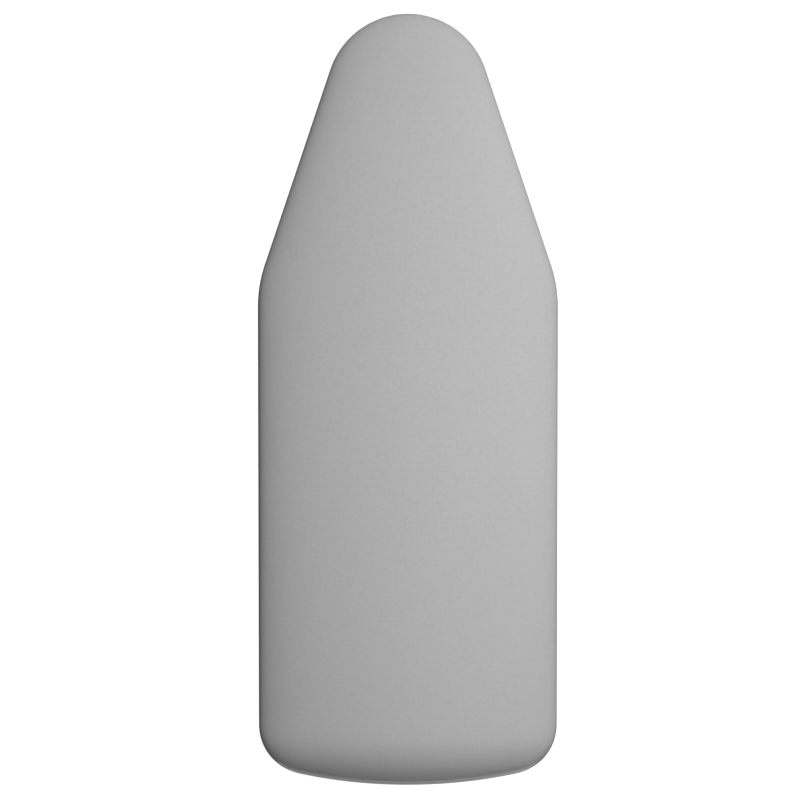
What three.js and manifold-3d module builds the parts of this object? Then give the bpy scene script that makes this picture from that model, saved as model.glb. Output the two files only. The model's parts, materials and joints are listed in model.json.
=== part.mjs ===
// A full-size folding ironing board, standing open at its highest working position.
// Millimetres, +Z up, nose towards +Y, +X to the right when the nose points away.
// The origin is on the floor, under the middle of the board.
//
// Two crossed leg frames carry the board. The outer frame is hinged under the rear end.
// The inner frame crosses it and ends at the front in an axle, whose sliders run along two
// guide rods under the board. Clamp plates on a sprung lever grip the rods at any height.

import * as THREE from 'three';
import { mergeVertices } from 'three/addons/utils/BufferGeometryUtils.js';
import Module from 'manifold-3d';

const wasm = await Module();
wasm.setup();

const DEG = Math.PI / 180;

// ------------------------------------------------------------------ driving dimensions

const gap = 0.3;                    // between faces that touch
const clearance = 0.3;              // round a shaft in its hole
const cutReach = 200;               // half the length of a boring cutter
const lap = 1;                      // how far a joined block or a cutter runs past a face

const board = {
  length: 1200,
  width: 465,
  height: 900,                      // floor to the ironing surface
  noseRadius: 127,
  taperAngle: 18.55 * DEG,          // each straight side of the nose to the length
  shoulderRadius: 204,
  sideLean: 0.16 * DEG,             // the long sides draw in slightly towards the rear
  cornerRadius: 82,
  endRadius: 707,
  endChord: 60,                     // longest straight step round the rear end
  rollLength: 80,                   // the rear end curves down over this length
  rollRadius: 130,
};
const cover = { thickness: 1, rollWidth: 22, hemReach: 45 };
const elastic = { radius: 1.75 };
const pad = { thickness: 7, ease: 2.5 };
const sheet = { thickness: 0.8, inset: 7 };
const rim = { radius: 10, wall: 1.2, jointY: -20 };
const topInsets = [80, 58, 42, 31, 22, 14];        // rings of the top, in from the outline

const rail = { width: 30, height: 16, wall: 1.5 };
const leg = { radius: 11, wall: 1.2, eyeLength: 14 };
const legs = {
  pivotInset: 132,                  // rear hinge to the rear end
  armDifference: 60,                // the lower arms are this much longer
  pivotDepth: 62,                   // hinge axis below the ironing surface
  spacing: 34,                      // outer tube to inner tube, sideways
  footMargin: 1,                    // outer tube to the rubber foot, sideways
  braceOffset: 250,                 // leg crossing to the brace, along the leg
  braceRadius: 9,
};
const foot = { radius: 16, flatDrop: 14.5, length: 38, cover: 32, endRound: 4 };
const plug = { flange: 2.5, depth: 8, chamfer: 1 };
const spacer = { radius: 12 };
const bolt = { radius: 4, headRadius: 7, headLength: 5, nutRadius: 7.5, nutLength: 6.5 };
const bracket = { wall: 2.5, width: 34, washer: 1 };
const hemClearance = 1.5;           // pieces below the sheet to the inner edge of the hem

const rod = { radius: 5, spread: 45, rise: 16, overhang: 3 };
const hanger = { width: 20, plate: 4, flange: 18, foot: 2.5, drop: 9 };
const slider = { width: 26, length: 52, below: 11, above: 9, travelMargin: 6 };
const ear = { length: 16, below: 8, above: 6 };      // round the lever's pin
const axle = { radius: 5, capRadius: 8, capLength: 3 };
const lever = {
  pinBehind: 36,                    // pin behind the axle
  pinRise: 2,
  pinRadius: 3,
  pinHeadRadius: 5,
  pinHead: 3.5,
  restTilt: 8 * DEG,
  plate: 3,
  plateBehind: 8,                   // pin to the front of the clamp plate
  plateDrop: 6,
  plateHeight: 32,
  holeRadius: 7.5,
  holeMargin: 3.5,                  // plate left beside the rod's hole
  pinMargin: 2,                     // plate left above the pin's level
  wireRadius: 4,
  reach: 95,
  bend: 12,
  gripRadius: 9,
  gripLength: 88,
  gripChamfer: 2,
};
const spring = { wire: 0.9, coil: 5.2, turns: 5, pitch: 2.6, tang: 9, turnSteps: 8, tangSteps: 3 };
const hook = {
  width: 16,
  pinRadius: 2.5,
  headRadius: 4,
  headLength: 2,
  boss: 6,
  ahead: 19,                        // pivot ahead of the folded brace
  rise: 22,                         // pivot above the folded brace
  shank: 6,
  lip: 5,
  lipReach: 27,
  chamfer: 2,
  clearance: 2,                     // the folded brace to the lip
  cheek: 2,
  bracketLength: 16,
};

// ------------------------------------------------------------------ levels and places

const padTop = board.height - cover.thickness - gap;
const padBottom = padTop - pad.thickness;
const sheetTop = padBottom - gap;
const sheetBottom = sheetTop - sheet.thickness;
const rimZ = sheetBottom - gap - rim.radius;
const rimInset = cover.thickness + 2 * gap + rim.radius;
const hemTop = rimZ - rim.radius - 2 * gap;
const railTop = sheetBottom - gap;
const railBottom = railTop - rail.height;

// ------------------------------------------------------------------ solids, joined and cut

function solidOf(geometry) {
  const bare = geometry.clone();
  bare.deleteAttribute('normal');
  bare.deleteAttribute('uv');
  const merged = mergeVertices(bare, 1e-4);
  return new wasm.Manifold(new wasm.Mesh({
    numProp: 3,
    vertProperties: merged.attributes.position.array,
    triVerts: merged.index.array,
  }));
}

function geometryOf(solid) {
  const mesh = solid.getMesh();
  const geometry = new THREE.BufferGeometry();
  geometry.setAttribute('position', new THREE.BufferAttribute(mesh.vertProperties, 3));
  geometry.setIndex(new THREE.BufferAttribute(mesh.triVerts, 1));
  geometry.computeVertexNormals();
  return geometry;
}

function cut(geometry, ...tools) {
  return geometryOf(tools.reduce((left, tool) => left.subtract(solidOf(tool)), solidOf(geometry)));
}

function join(first, ...others) {
  return geometryOf(others.reduce((sum, other) => sum.add(solidOf(other)), solidOf(first)));
}

// The left-hand copy of a right-hand piece.
function mirror(geometry) {
  const copy = geometry.clone().scale(-1, 1, 1);
  copy.index.array.reverse();
  return copy;
}

function signedVolume(geometry) {
  const at = geometry.attributes.position;
  const index = geometry.index.array;
  const corner = [new THREE.Vector3(), new THREE.Vector3(), new THREE.Vector3()];
  let volume = 0;
  for (let i = 0; i < index.length; i += 3) {
    corner.forEach((point, k) => point.fromBufferAttribute(at, index[i + k]));
    volume += corner[0].dot(corner[1].clone().cross(corner[2])) / 6;
  }
  return volume;
}

function box(low, high) {
  const size = high.map((value, k) => value - low[k]);
  const geometry = new THREE.BoxGeometry(...size);
  return geometry.translate(...low.map((value, k) => value + size[k] / 2));
}

// A turned piece on the X axis. Its profile holds [x, radius] pairs.
function turned(profile, sides = 16) {
  const points = profile.map(([x, radius]) => new THREE.Vector2(radius, x));
  return new THREE.LatheGeometry(points, sides).rotateZ(-Math.PI / 2);
}

function roundBar(radius, from, to, sides = 16) {
  return turned([[from, 0], [from, radius], [to, radius], [to, 0]], sides);
}

// A cutter whose flats, not its corners, stand at the stated radius.
function borer(radius, sides = 12) {
  return roundBar(radius / Math.cos(Math.PI / sides), -cutReach, cutReach, sides);
}

function pipe(radius, wall, from, to, sides = 16) {
  const inner = radius - wall;
  return turned([[from, inner], [from, radius], [to, radius], [to, inner], [from, inner]], sides);
}

const alongY = (geometry) => geometry.rotateZ(Math.PI / 2);

// A flat outline in the YZ plane, given as a THREE.Shape, made `width` thick about X = 0.
function slab(shape, width, curveSegments = 8) {
  const settings = { depth: width, bevelEnabled: false, curveSegments };
  const geometry = new THREE.ExtrudeGeometry(shape, settings);
  geometry.translate(0, 0, -width / 2);
  return geometry.rotateY(Math.PI / 2).rotateX(Math.PI / 2);
}

function polygon(points) {
  return new THREE.Shape(points.map(([a, b]) => new THREE.Vector2(a, b)));
}

// ------------------------------------------------------------------ outline of the board

// The right half of the outline, from the nose tip to the middle of the rear end, as tangent
// arcs. Each turns its outward normal from one angle to another. An inset outline keeps the
// centres and shortens the radii, so a station holds a point and its outward normal.
function outlineArcs() {
  const { length, width, noseRadius, taperAngle, shoulderRadius, sideLean } = board;
  const { cornerRadius, endRadius, endChord } = board;
  const nose = new THREE.Vector2(0, length / 2 - noseRadius);
  const taperNormal = new THREE.Vector2(Math.cos(taperAngle), Math.sin(taperAngle));
  const taperSupport = nose.dot(taperNormal) + noseRadius;
  const shoulderX = width / 2 - shoulderRadius;
  const shoulder = new THREE.Vector2(
    shoulderX,
    (taperSupport - shoulderRadius - shoulderX * taperNormal.x) / taperNormal.y,
  );
  const sideNormal = new THREE.Vector2(Math.cos(sideLean), -Math.sin(sideLean));
  const sideAlong = new THREE.Vector2(-Math.sin(sideLean), -Math.cos(sideLean));
  const sideSupport = shoulder.dot(sideNormal) + shoulderRadius;
  const end = new THREE.Vector2(0, endRadius - length / 2);
  const start = sideNormal.clone().multiplyScalar(sideSupport - cornerRadius);
  const offset = start.clone().sub(end);
  const half = offset.dot(sideAlong);
  const reach = -half + Math.sqrt(half ** 2 - offset.lengthSq() + (endRadius - cornerRadius) ** 2);
  const corner = start.add(sideAlong.multiplyScalar(reach));
  const cornerAngle = Math.atan2(corner.y - end.y, corner.x - end.x);
  const endSteps = Math.ceil(endRadius * (cornerAngle + Math.PI / 2) / endChord);
  return [
    { centre: nose, radius: noseRadius, from: Math.PI / 2, to: taperAngle, steps: 7 },
    { centre: shoulder, radius: shoulderRadius, from: taperAngle, to: -sideLean, steps: 2 },
    { centre: corner, radius: cornerRadius, from: -sideLean, to: cornerAngle, steps: 6 },
    { centre: end, radius: endRadius, from: cornerAngle, to: -Math.PI / 2, steps: endSteps },
  ];
}

function station(x, y, nx, ny) {
  return { x, y, nx, ny };
}

const mirrored = (s) => station(-s.x, s.y, -s.nx, s.ny);

const rightHalf = outlineArcs().flatMap(({ centre, radius, from, to, steps }, arc, arcs) => {
  const first = arc === arcs.length - 1 ? 1 : 0;
  return Array.from({ length: steps + 1 - first }, (_, k) => {
    const angle = from + (to - from) * (k + first) / steps;
    const nx = Math.cos(angle);
    const ny = Math.sin(angle);
    return station(centre.x + radius * nx, centre.y + radius * ny, nx, ny);
  });
});
rightHalf[0].x = 0;
rightHalf[rightHalf.length - 1].x = 0;

const wholeOutline = [...rightHalf, ...rightHalf.slice(1, -1).reverse().map(mirrored)];

// The station where the right half of the outline crosses a given Y.
function stationAt(y) {
  const next = rightHalf.findIndex((s) => s.y <= y);
  const [a, b] = [rightHalf[next - 1], rightHalf[next]];
  const t = (a.y - y) / (a.y - b.y);
  const mix = (key) => a[key] + (b[key] - a[key]) * t;
  return station(mix('x'), y, mix('nx'), mix('ny'));
}

const insetPoint = (s, inset) => ({ x: s.x - inset * s.nx, y: s.y - inset * s.ny });

// Half the width of the inset outline at a given Y.
function insetHalfWidth(inset, y) {
  const reach = rightHalf.map((s) => insetPoint(s, inset));
  const next = reach.findIndex((p) => p.y <= y);
  const [a, b] = [reach[next - 1], reach[next]];
  return a.x + (b.x - a.x) * (a.y - y) / (a.y - b.y);
}

// The Y nearest the nose where the inset outline is this wide, from the middle to one side.
function insetYAt(inset, halfWidth) {
  const reach = rightHalf.map((s) => insetPoint(s, inset));
  const next = reach.findIndex((p) => p.x >= halfWidth);
  const [a, b] = [reach[next - 1], reach[next]];
  return a.y + (b.y - a.y) * (halfWidth - a.x) / (b.x - a.x);
}

// How far the rear end has curved down at a given Y.
function rearDrop(y) {
  const past = Math.max(0, board.rollLength - board.length / 2 - y);
  return board.rollRadius - Math.sqrt(board.rollRadius ** 2 - past ** 2);
}

// Carries a profile of [inset, z] points along outline stations. `loop` joins the last station
// to the first, and `ring` joins the last profile point to the first; open ends are capped.
function carried(profile, stations, { loop, ring }) {
  const rows = stations.length;
  const columns = profile.length;
  const vertices = stations.flatMap((s) => profile.flatMap(([inset, z]) => {
    const y = s.y - inset * s.ny;
    return [s.x - inset * s.nx, y, z - rearDrop(y)];
  }));
  const at = (row, column) => (row % rows) * columns + (column % columns);
  const index = [];
  const quad = (a, b, c, d) => {
    if (a !== b && b !== c && a !== c) index.push(a, b, c);
    if (a !== c && c !== d && a !== d) index.push(a, c, d);
  };
  for (let row = 0; row < (loop ? rows : rows - 1); row += 1) {
    for (let column = 0; column < (ring ? columns : columns - 1); column += 1) {
      const face = [at(row, column), at(row, column + 1), at(row + 1, column + 1),
        at(row + 1, column)];
      const outwards = profile[column][0] >= profile[(column + 1) % columns][0];
      quad(...(outwards ? face : [...face.slice(1), face[0]]));
    }
  }
  if (!ring) {
    for (let rung = 0; rung < rows / 2; rung += 1) {
      const [a, b, c, d] = [rung, rung + 1, rows - rung - 1, (rows - rung) % rows];
      quad(at(a, 0), at(b, 0), at(c, 0), at(d, 0));
      const last = columns - 1;
      quad(at(d, last), at(c, last), at(b, last), at(a, last));
    }
  }
  const geometry = new THREE.BufferGeometry();
  geometry.setAttribute('position', new THREE.Float32BufferAttribute(vertices, 3));
  geometry.setIndex(index);
  if (signedVolume(geometry) < 0) geometry.setIndex(index.reverse());
  geometry.computeVertexNormals();
  return geometry;
}

// Points of a quarter turn, from angle `from` to `to`, through a function of the angle.
function arcPoints(from, to, steps, point) {
  return Array.from({ length: steps + 1 }, (_, k) => point(from + (to - from) * k / steps));
}

// Points of a closed ring of `sides` points, through a function of the angle.
function ringPoints(sides, point) {
  return arcPoints(0, 2 * Math.PI * (1 - 1 / sides), sides - 1, point);
}

// A round section for an ExtrudeGeometry.
function disc(radius, sides) {
  return new THREE.Shape(ringPoints(sides, (t) => (
    new THREE.Vector2(radius * Math.cos(t), radius * Math.sin(t))
  )));
}

// The rolled upper edge, `depth` under the outer surface: level at its inner end, upright at
// the rim's middle.
function edgeRoll(depth, to = Math.PI / 2, steps = 4) {
  const drop = board.height - depth - rimZ;
  return arcPoints(0, to, steps, (t) => [
    depth + (cover.rollWidth - depth) * (1 - Math.sin(t)),
    board.height - depth - drop * (1 - Math.cos(t)),
  ]);
}

// Level points at one height on the shared rings, down to an inset.
const levelRun = (z, least) => topInsets.filter((inset) => inset > least).map((inset) => [inset, z]);

// The turn under the rim, at a distance from the rim's middle line.
function underRoll(radius) {
  const turn = (t) => [rimInset - radius * Math.cos(t), rimZ - radius * Math.sin(t)];
  return arcPoints(0, Math.PI / 2, 3, turn).slice(1);
}

// ------------------------------------------------------------------ places below the top

const pivotY = -board.length / 2 + legs.pivotInset;
const pivotZ = board.height - legs.pivotDepth;
const hemInset = cover.hemReach + hemClearance;

const bracketHalf = leg.radius + bracket.washer + gap + bracket.wall;
const outerX = insetHalfWidth(hemInset, pivotY - bracket.width / 2) - bracketHalf;
const innerX = outerX - legs.spacing;
const footHalf = outerX + leg.radius + legs.footMargin + foot.cover;

// The front hangers stand just inside the hem of the nose, and the folded sliders just
// behind them. That sets how long the legs are.
const frontHangerY = insetYAt(hemInset, rod.spread + hanger.width / 2);
const foldedSliderY = frontHangerY - hanger.plate - slider.travelMargin - slider.length / 2;
const upperArm = (foldedSliderY - pivotY) / 2;
const legLength = 2 * upperArm + legs.armDifference;
const openAngle = Math.asin((pivotZ - foot.flatDrop) / legLength);
const sliderY = pivotY + 2 * upperArm * Math.cos(openAngle);

const rodZ = pivotZ + rod.rise;
const rearHangerY = sliderY - lever.pinBehind - lever.plateBehind - lever.plate
  - lever.plateHeight * Math.sin(lever.restTilt) - slider.travelMargin;
const hookY = pivotY + upperArm - legs.braceOffset + hook.ahead;
const hookZ = pivotZ + hook.rise;

// ------------------------------------------------------------------ materials

const finish = (color, roughness, metalness) => (
  new THREE.MeshStandardMaterial({ color, roughness, metalness })
);
const material = {
  coverFabric: finish(0xb4b4b5, 0.9, 0),
  padFelt: finish(0xd9d4c8, 1, 0),
  elasticCord: finish(0xe8e6e0, 0.85, 0),
  sheetSteel: finish(0xa9acb0, 0.45, 0.8),
  frameEnamel: finish(0xc9ccce, 0.4, 0.3),
  legEnamel: finish(0xd5d7d9, 0.38, 0.3),
  steel: finish(0x9fa3a7, 0.3, 0.95),
  rubber: finish(0x3a3b3d, 0.85, 0),
  plastic: finish(0x56595c, 0.5, 0),
  springSteel: finish(0x8d9195, 0.35, 0.95),
};

const ironingBoard = new THREE.Group();

function add(name, geometry, surface, parent = ironingBoard, place = [0, 0, 0]) {
  const mesh = new THREE.Mesh(geometry, surface);
  mesh.name = name;
  mesh.position.set(...place);
  parent.add(mesh);
  return mesh;
}

// Calls `make` for the left and the right copy of a paired piece.
function eachSide(make) {
  make('left', -1);
  make('right', 1);
}

// ------------------------------------------------------------------ the padded top

function addCover() {
  const skin = (depth) => {
    const turn = rimInset - depth;
    return [...levelRun(board.height - depth, cover.rollWidth), ...edgeRoll(depth),
      ...underRoll(turn), [cover.hemReach, rimZ - turn]];
  };
  const outer = skin(0);
  const inner = skin(cover.thickness);
  const profile = [...outer, ...inner.reverse()];
  add('cover', carried(profile, wholeOutline, { loop: true }), material.coverFabric);
}

function addHemElastic() {
  const { radius } = elastic;
  const inset = cover.hemReach - 2 * radius;
  const z = hemTop + gap + radius;
  const circle = ringPoints(6, (t) => [inset + radius * Math.cos(t), z + radius * Math.sin(t)]);
  const geometry = carried(circle, wholeOutline, { loop: true, ring: true });
  add('hem_elastic', geometry, material.elasticCord);
}

function addPad() {
  const depth = cover.thickness + gap;
  const drop = board.height - depth - rimZ;
  const edge = edgeRoll(depth, Math.acos(1 - pad.thickness / drop), 3)
    .map(([inset, z]) => [inset + pad.ease, z]);
  const profile = [...levelRun(padTop, cover.rollWidth), ...edge,
    ...levelRun(padBottom, sheet.inset).reverse()];
  add('underlay_pad', carried(profile, wholeOutline, { loop: true }), material.padFelt);
}

function addTopSheet() {
  const face = (z) => [...levelRun(z, sheet.inset), [sheet.inset, z]];
  const profile = [...face(sheetTop), ...face(sheetBottom).reverse()];
  add('top_sheet', carried(profile, wholeOutline, { loop: true }), material.sheetSteel);
}

// The rim is two bent tubes that meet end to end in the long sides.
function addRim() {
  const ringAt = (radius) => ringPoints(10, (t) => (
    [rimInset + radius * Math.cos(t), rimZ + radius * Math.sin(t)]
  ));
  const frontEnd = stationAt(rim.jointY + gap / 2);
  const rearEnd = stationAt(rim.jointY - gap / 2);
  const front = [...rightHalf.filter((s) => s.y > frontEnd.y), frontEnd];
  const rear = [rearEnd, ...rightHalf.filter((s) => s.y < rearEnd.y)];
  const runs = {
    rim_front: [...front.slice(1).reverse().map(mirrored), ...front],
    rim_rear: [...rear, ...rear.slice(0, -1).reverse().map(mirrored)],
  };
  for (const [name, stations] of Object.entries(runs)) {
    const tube = tubeAlong(stations, ringAt(rim.radius), ringAt(rim.radius - rim.wall));
    add(name, tube, material.frameEnamel);
  }
}

// A hollow tube along open outline stations: outer and inner rings, joined at both ends.
function tubeAlong(stations, outer, inner) {
  const sides = outer.length;
  const rows = stations.length;
  const place = (s, [inset, z]) => {
    const y = s.y - inset * s.ny;
    return [s.x - inset * s.nx, y, z - rearDrop(y)];
  };
  const vertices = [outer, inner].flatMap((ring) => (
    stations.flatMap((s) => ring.flatMap((point) => place(s, point)))
  ));
  const at = (skin, row, side) => (skin * rows + row) * sides + (side % sides);
  const index = [];
  const quad = (a, b, c, d) => index.push(a, b, c, a, c, d);
  for (let side = 0; side < sides; side += 1) {
    for (let row = 0; row < rows - 1; row += 1) {
      quad(at(0, row, side), at(0, row, side + 1), at(0, row + 1, side + 1), at(0, row + 1, side));
      quad(at(1, row, side), at(1, row + 1, side), at(1, row + 1, side + 1), at(1, row, side + 1));
    }
    const end = rows - 1;
    quad(at(0, 0, side), at(1, 0, side), at(1, 0, side + 1), at(0, 0, side + 1));
    quad(at(0, end, side), at(0, end, side + 1), at(1, end, side + 1), at(1, end, side));
  }
  const geometry = new THREE.BufferGeometry();
  geometry.setAttribute('position', new THREE.Float32BufferAttribute(vertices, 3));
  geometry.setIndex(index);
  if (signedVolume(geometry) < 0) geometry.setIndex(index.reverse());
  geometry.computeVertexNormals();
  return geometry;
}

// Pressed channels across the rim, open towards the sheet that they stiffen.
function addCrossRails() {
  const { width, height, wall } = rail;
  const half = width / 2;
  const section = polygon([[-half, 0], [half, 0], [half, height], [half - wall, height],
    [half - wall, wall], [wall - half, wall], [wall - half, height], [-half, height]]);
  const places = {
    cross_rail_rear: pivotY,
    cross_rail_centre: hookY,
    cross_rail_middle: rearHangerY - hanger.flange / 2,
    cross_rail_front: frontHangerY - hanger.flange / 2,
  };
  for (const [name, y] of Object.entries(places)) {
    const inset = rimInset + rim.radius + gap;
    const length = 2 * Math.min(insetHalfWidth(inset, y - half), insetHalfWidth(inset, y + half));
    add(name, slab(section, length), material.frameEnamel, ironingBoard, [0, y, railBottom]);
  }
}

// ------------------------------------------------------------------ hinge under the rear end

function clevis(innerHalf, wall, width, height, shaftRadius) {
  const outerHalf = innerHalf + wall;
  const rounding = width / 2;
  const side = new THREE.Shape();
  side.moveTo(-rounding, height);
  side.lineTo(-rounding, 0);
  side.absarc(0, 0, rounding, Math.PI, 2 * Math.PI, false);
  side.lineTo(rounding, height);
  const blank = slab(side, 2 * outerHalf);
  const slot = box([-innerHalf, -width, -width], [innerHalf, width, height - wall]);
  return cut(blank, slot, borer(shaftRadius + clearance));
}

// A bolt on the X axis: its head towards +X, its nut towards -X.
function boltAcross(from, to) {
  const { radius, headRadius, headLength, nutRadius, nutLength } = bolt;
  const shank = roundBar(radius, from - nutLength, to + headLength, 16);
  const head = roundBar(headRadius, to, to + headLength, 16);
  const nut = roundBar(nutRadius, from - nutLength, from, 6);
  return join(shank, head, nut);
}

function addRearHinge() {
  const inner = leg.radius + bracket.washer + gap;
  const height = railBottom - gap - pivotZ;
  const outer = inner + bracket.wall + gap;
  eachSide((side, sign) => {
    const place = [sign * outerX, pivotY, pivotZ];
    const ears = clevis(inner, bracket.wall, bracket.width, height, bolt.radius);
    add(`pivot_bracket_${side}`, ears, material.frameEnamel, ironingBoard, place);
    const pin = boltAcross(-outer, outer);
    if (sign < 0) pin.rotateZ(Math.PI);
    add(`pivot_bolt_${side}`, pin, material.steel, ironingBoard, place);
  });
}

// ------------------------------------------------------------------ leg frames

// A leg tube on the Y axis from its upper eye to the foot bar, bored for the hinge at the eye
// and for the bolt at the crossing.
function legTube(eyeRadius) {
  const tube = alongY(pipe(leg.radius, leg.wall, -leg.eyeLength, legLength));
  const footBar = borer(leg.radius + gap, 16).translate(0, legLength, 0);
  const eye = borer(eyeRadius + clearance);
  const crossing = borer(bolt.radius + clearance).translate(0, upperArm, 0);
  return cut(tube, footBar, eye, crossing);
}

function tubePlug() {
  const spigot = leg.radius - leg.wall - gap;
  const { flange, depth, chamfer } = plug;
  return turned([[-flange - gap, 0], [-flange - gap, leg.radius - chamfer],
    [chamfer - flange - gap, leg.radius], [-gap, leg.radius], [-gap, spigot], [depth, spigot], [depth, 0]]);
}

// A rubber foot on the end of a foot bar, open towards -X, with a flat to stand on.
function rubberFoot() {
  const { radius, flatDrop, length, endRound } = foot;
  const bore = leg.radius + gap;
  const open = length - foot.cover;
  const cup = turned([[0, bore], [0, radius], [length - endRound, radius],
    [length - endRound / 4, radius - endRound / 2], [length, radius - endRound],
    [length, 0], [length - open, 0], [length - open, bore], [0, bore]]);
  return cut(cup, box([-lap, -2 * radius, -2 * radius], [length + lap, 2 * radius, -flatDrop]));
}

// Everything that both leg frames share. `sign` is +1 for the outer frame, whose tubes run
// towards +Y from the eye, and -1 for the inner one.
function addLegFrame(name, x, sign, tilt, eyeRadius, place) {
  const frame = new THREE.Group();
  frame.position.set(...place);
  frame.rotation.x = tilt;
  ironingBoard.add(frame);
  const turn = sign < 0 ? Math.PI : 0;
  eachSide((side, half) => {
    const tube = legTube(eyeRadius).rotateZ(turn);
    add(`${name}_tube_${side}`, tube, material.legEnamel, frame, [half * x, 0, 0]);
    const stopper = tubePlug().rotateZ(sign * Math.PI / 2);
    add(`${name}_plug_${side}`, stopper, material.plastic, frame,
      [half * x, -sign * leg.eyeLength, 0]);
    const shoe = add(`${name}_foot_${side}`, rubberFoot().rotateZ(half < 0 ? Math.PI : 0),
      material.rubber, frame, [half * (footHalf - foot.cover + gap), sign * legLength, 0]);
    shoe.rotation.x = -tilt;
  });
  const bar = pipe(leg.radius, leg.wall, -footHalf, footHalf);
  add(`${name}_foot_bar`, bar, material.legEnamel, frame, [0, sign * legLength, 0]);
  return frame;
}

function addLegs() {
  const outer = addLegFrame('outer_leg', outerX, 1, -openAngle, bolt.radius, [0, pivotY, pivotZ]);
  const inner = addLegFrame('inner_leg', innerX, -1, openAngle, axle.radius, [0, sliderY, pivotZ]);
  addCrossingBolts(outer);
  addBrace(inner);
  addCrossAxle(inner);
}

function addCrossingBolts(outer) {
  const toOuter = leg.radius + gap;
  const toInner = -legs.spacing - leg.radius - gap;
  const spacerHalf = legs.spacing / 2 - leg.radius - gap;
  const bore = (bolt.radius + clearance) / Math.cos(Math.PI / 16);
  eachSide((side, sign) => {
    const pin = boltAcross(toInner, toOuter);
    if (sign < 0) pin.rotateZ(Math.PI);
    add(`crossing_bolt_${side}`, pin, material.steel, outer, [sign * outerX, upperArm, 0]);
    const ring = pipe(spacer.radius, spacer.radius - bore, -spacerHalf, spacerHalf);
    add(`crossing_spacer_${side}`, ring, material.plastic, outer,
      [sign * (outerX - legs.spacing / 2), upperArm, 0]);
  });
}

function addBrace(inner) {
  const tube = pipe(legs.braceRadius, leg.wall, -innerX, innerX);
  const saddles = [-innerX, innerX].map((x) => (
    alongY(borer(leg.radius + gap, 16)).translate(x, 0, 0)
  ));
  add('inner_leg_brace', cut(tube, ...saddles), material.legEnamel, inner,
    [0, -upperArm - legs.braceOffset, 0]);
}

function addCrossAxle(inner) {
  const face = innerX + leg.radius + gap;
  const end = face + axle.capLength;
  const { radius, capRadius } = axle;
  const profile = [[-end, 0], [-end, capRadius], [-face, capRadius], [-face, radius],
    [face, radius], [face, capRadius], [end, capRadius], [end, 0]];
  add('cross_axle', turned(profile, 16), material.steel, inner);
}

// ------------------------------------------------------------------ guide rods and sliders

function addGuideRods() {
  const from = rearHangerY - hanger.plate - rod.overhang;
  const to = frontHangerY + rod.overhang;
  eachSide((side, sign) => {
    const bar = alongY(roundBar(rod.radius, from, to, 16));
    add(`guide_rod_${side}`, bar, material.steel, ironingBoard, [sign * rod.spread, 0, rodZ]);
  });
}

// Angles that hang the rods from the cross rails. Their flanges reach back.
function addRodHangers() {
  const top = railBottom - gap - rodZ;
  const { width, plate, flange, drop } = hanger;
  const section = polygon([[-plate, -drop], [0, -drop], [0, top], [-flange, top],
    [-flange, top - hanger.foot], [-plate, top - hanger.foot]]);
  const bore = alongY(borer(rod.radius + clearance));
  const angle = cut(slab(section, width), bore);
  for (const [end, y] of Object.entries({ rear: rearHangerY, front: frontHangerY })) {
    eachSide((side, sign) => {
      add(`rod_hanger_${end}_${side}`, angle.clone(), material.frameEnamel,
        ironingBoard, [sign * rod.spread, y, rodZ]);
    });
  }
}

// A moulded block on each rod. The axle passes below the rod, and an ear behind holds the
// lever's pin.
function addSliders() {
  const { width, length, below, above } = slider;
  const half = width / 2;
  const block = box([-half, -length / 2, -below], [half, length / 2, rod.rise + above]);
  const earEnd = -length / 2 - ear.length;
  const pinZ = lever.pinRise;
  const lug = box([-half, earEnd, pinZ - ear.below], [half, lap - length / 2, pinZ + ear.above]);
  const rodBore = alongY(borer(rod.radius + clearance)).translate(0, 0, rod.rise);
  const axleBore = borer(axle.radius + clearance);
  const pinBore = borer(lever.pinRadius + clearance).translate(0, -lever.pinBehind, pinZ);
  const body = cut(join(block, lug), rodBore, axleBore, pinBore);
  eachSide((side, sign) => {
    add(`slider_${side}`, body.clone(), material.plastic, ironingBoard,
      [sign * rod.spread, sliderY, pivotZ]);
  });
}

// ------------------------------------------------------------------ height lock

const leverPlace = [0, sliderY - lever.pinBehind, pivotZ + lever.pinRise];
const bailX = rod.spread + slider.width / 2 + lever.wireRadius;      // beside the sliders
const plateEdge = bailX + lever.wireRadius;

function addLeverPin() {
  const face = plateEdge + gap;
  const end = face + lever.pinHead;
  const head = lever.pinHeadRadius;
  const profile = [[-end, 0], [-end, head], [-face, head], [-face, lever.pinRadius],
    [face, lever.pinRadius], [face, head], [end, head], [end, 0]];
  add('lever_pin', turned(profile, 16), material.steel, ironingBoard, leverPlace);
}

// A coil spring round the pin, between the sliders, with one straight end behind and one ahead.
function addLeverSpring() {
  const { wire, coil, turns, pitch, tang, turnSteps, tangSteps } = spring;
  const steps = turns * turnSteps;
  const half = turns * pitch / 2;
  const round = Array.from({ length: steps + 1 }, (_, k) => {
    const angle = 2 * Math.PI * k / turnSteps;
    const x = -half + 2 * half * k / steps;
    return new THREE.Vector3(x, coil * Math.cos(angle), coil * Math.sin(angle));
  });
  const path = new THREE.CatmullRomCurve3([
    new THREE.Vector3(-half, coil, -tang), ...round, new THREE.Vector3(half, coil, tang),
  ]);
  const settings = { steps: steps + 2 * tangSteps, extrudePath: path, bevelEnabled: false };
  add('lever_spring', new THREE.ExtrudeGeometry(disc(wire, 6), settings), material.springSteel,
    ironingBoard, leverPlace);
}

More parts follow.
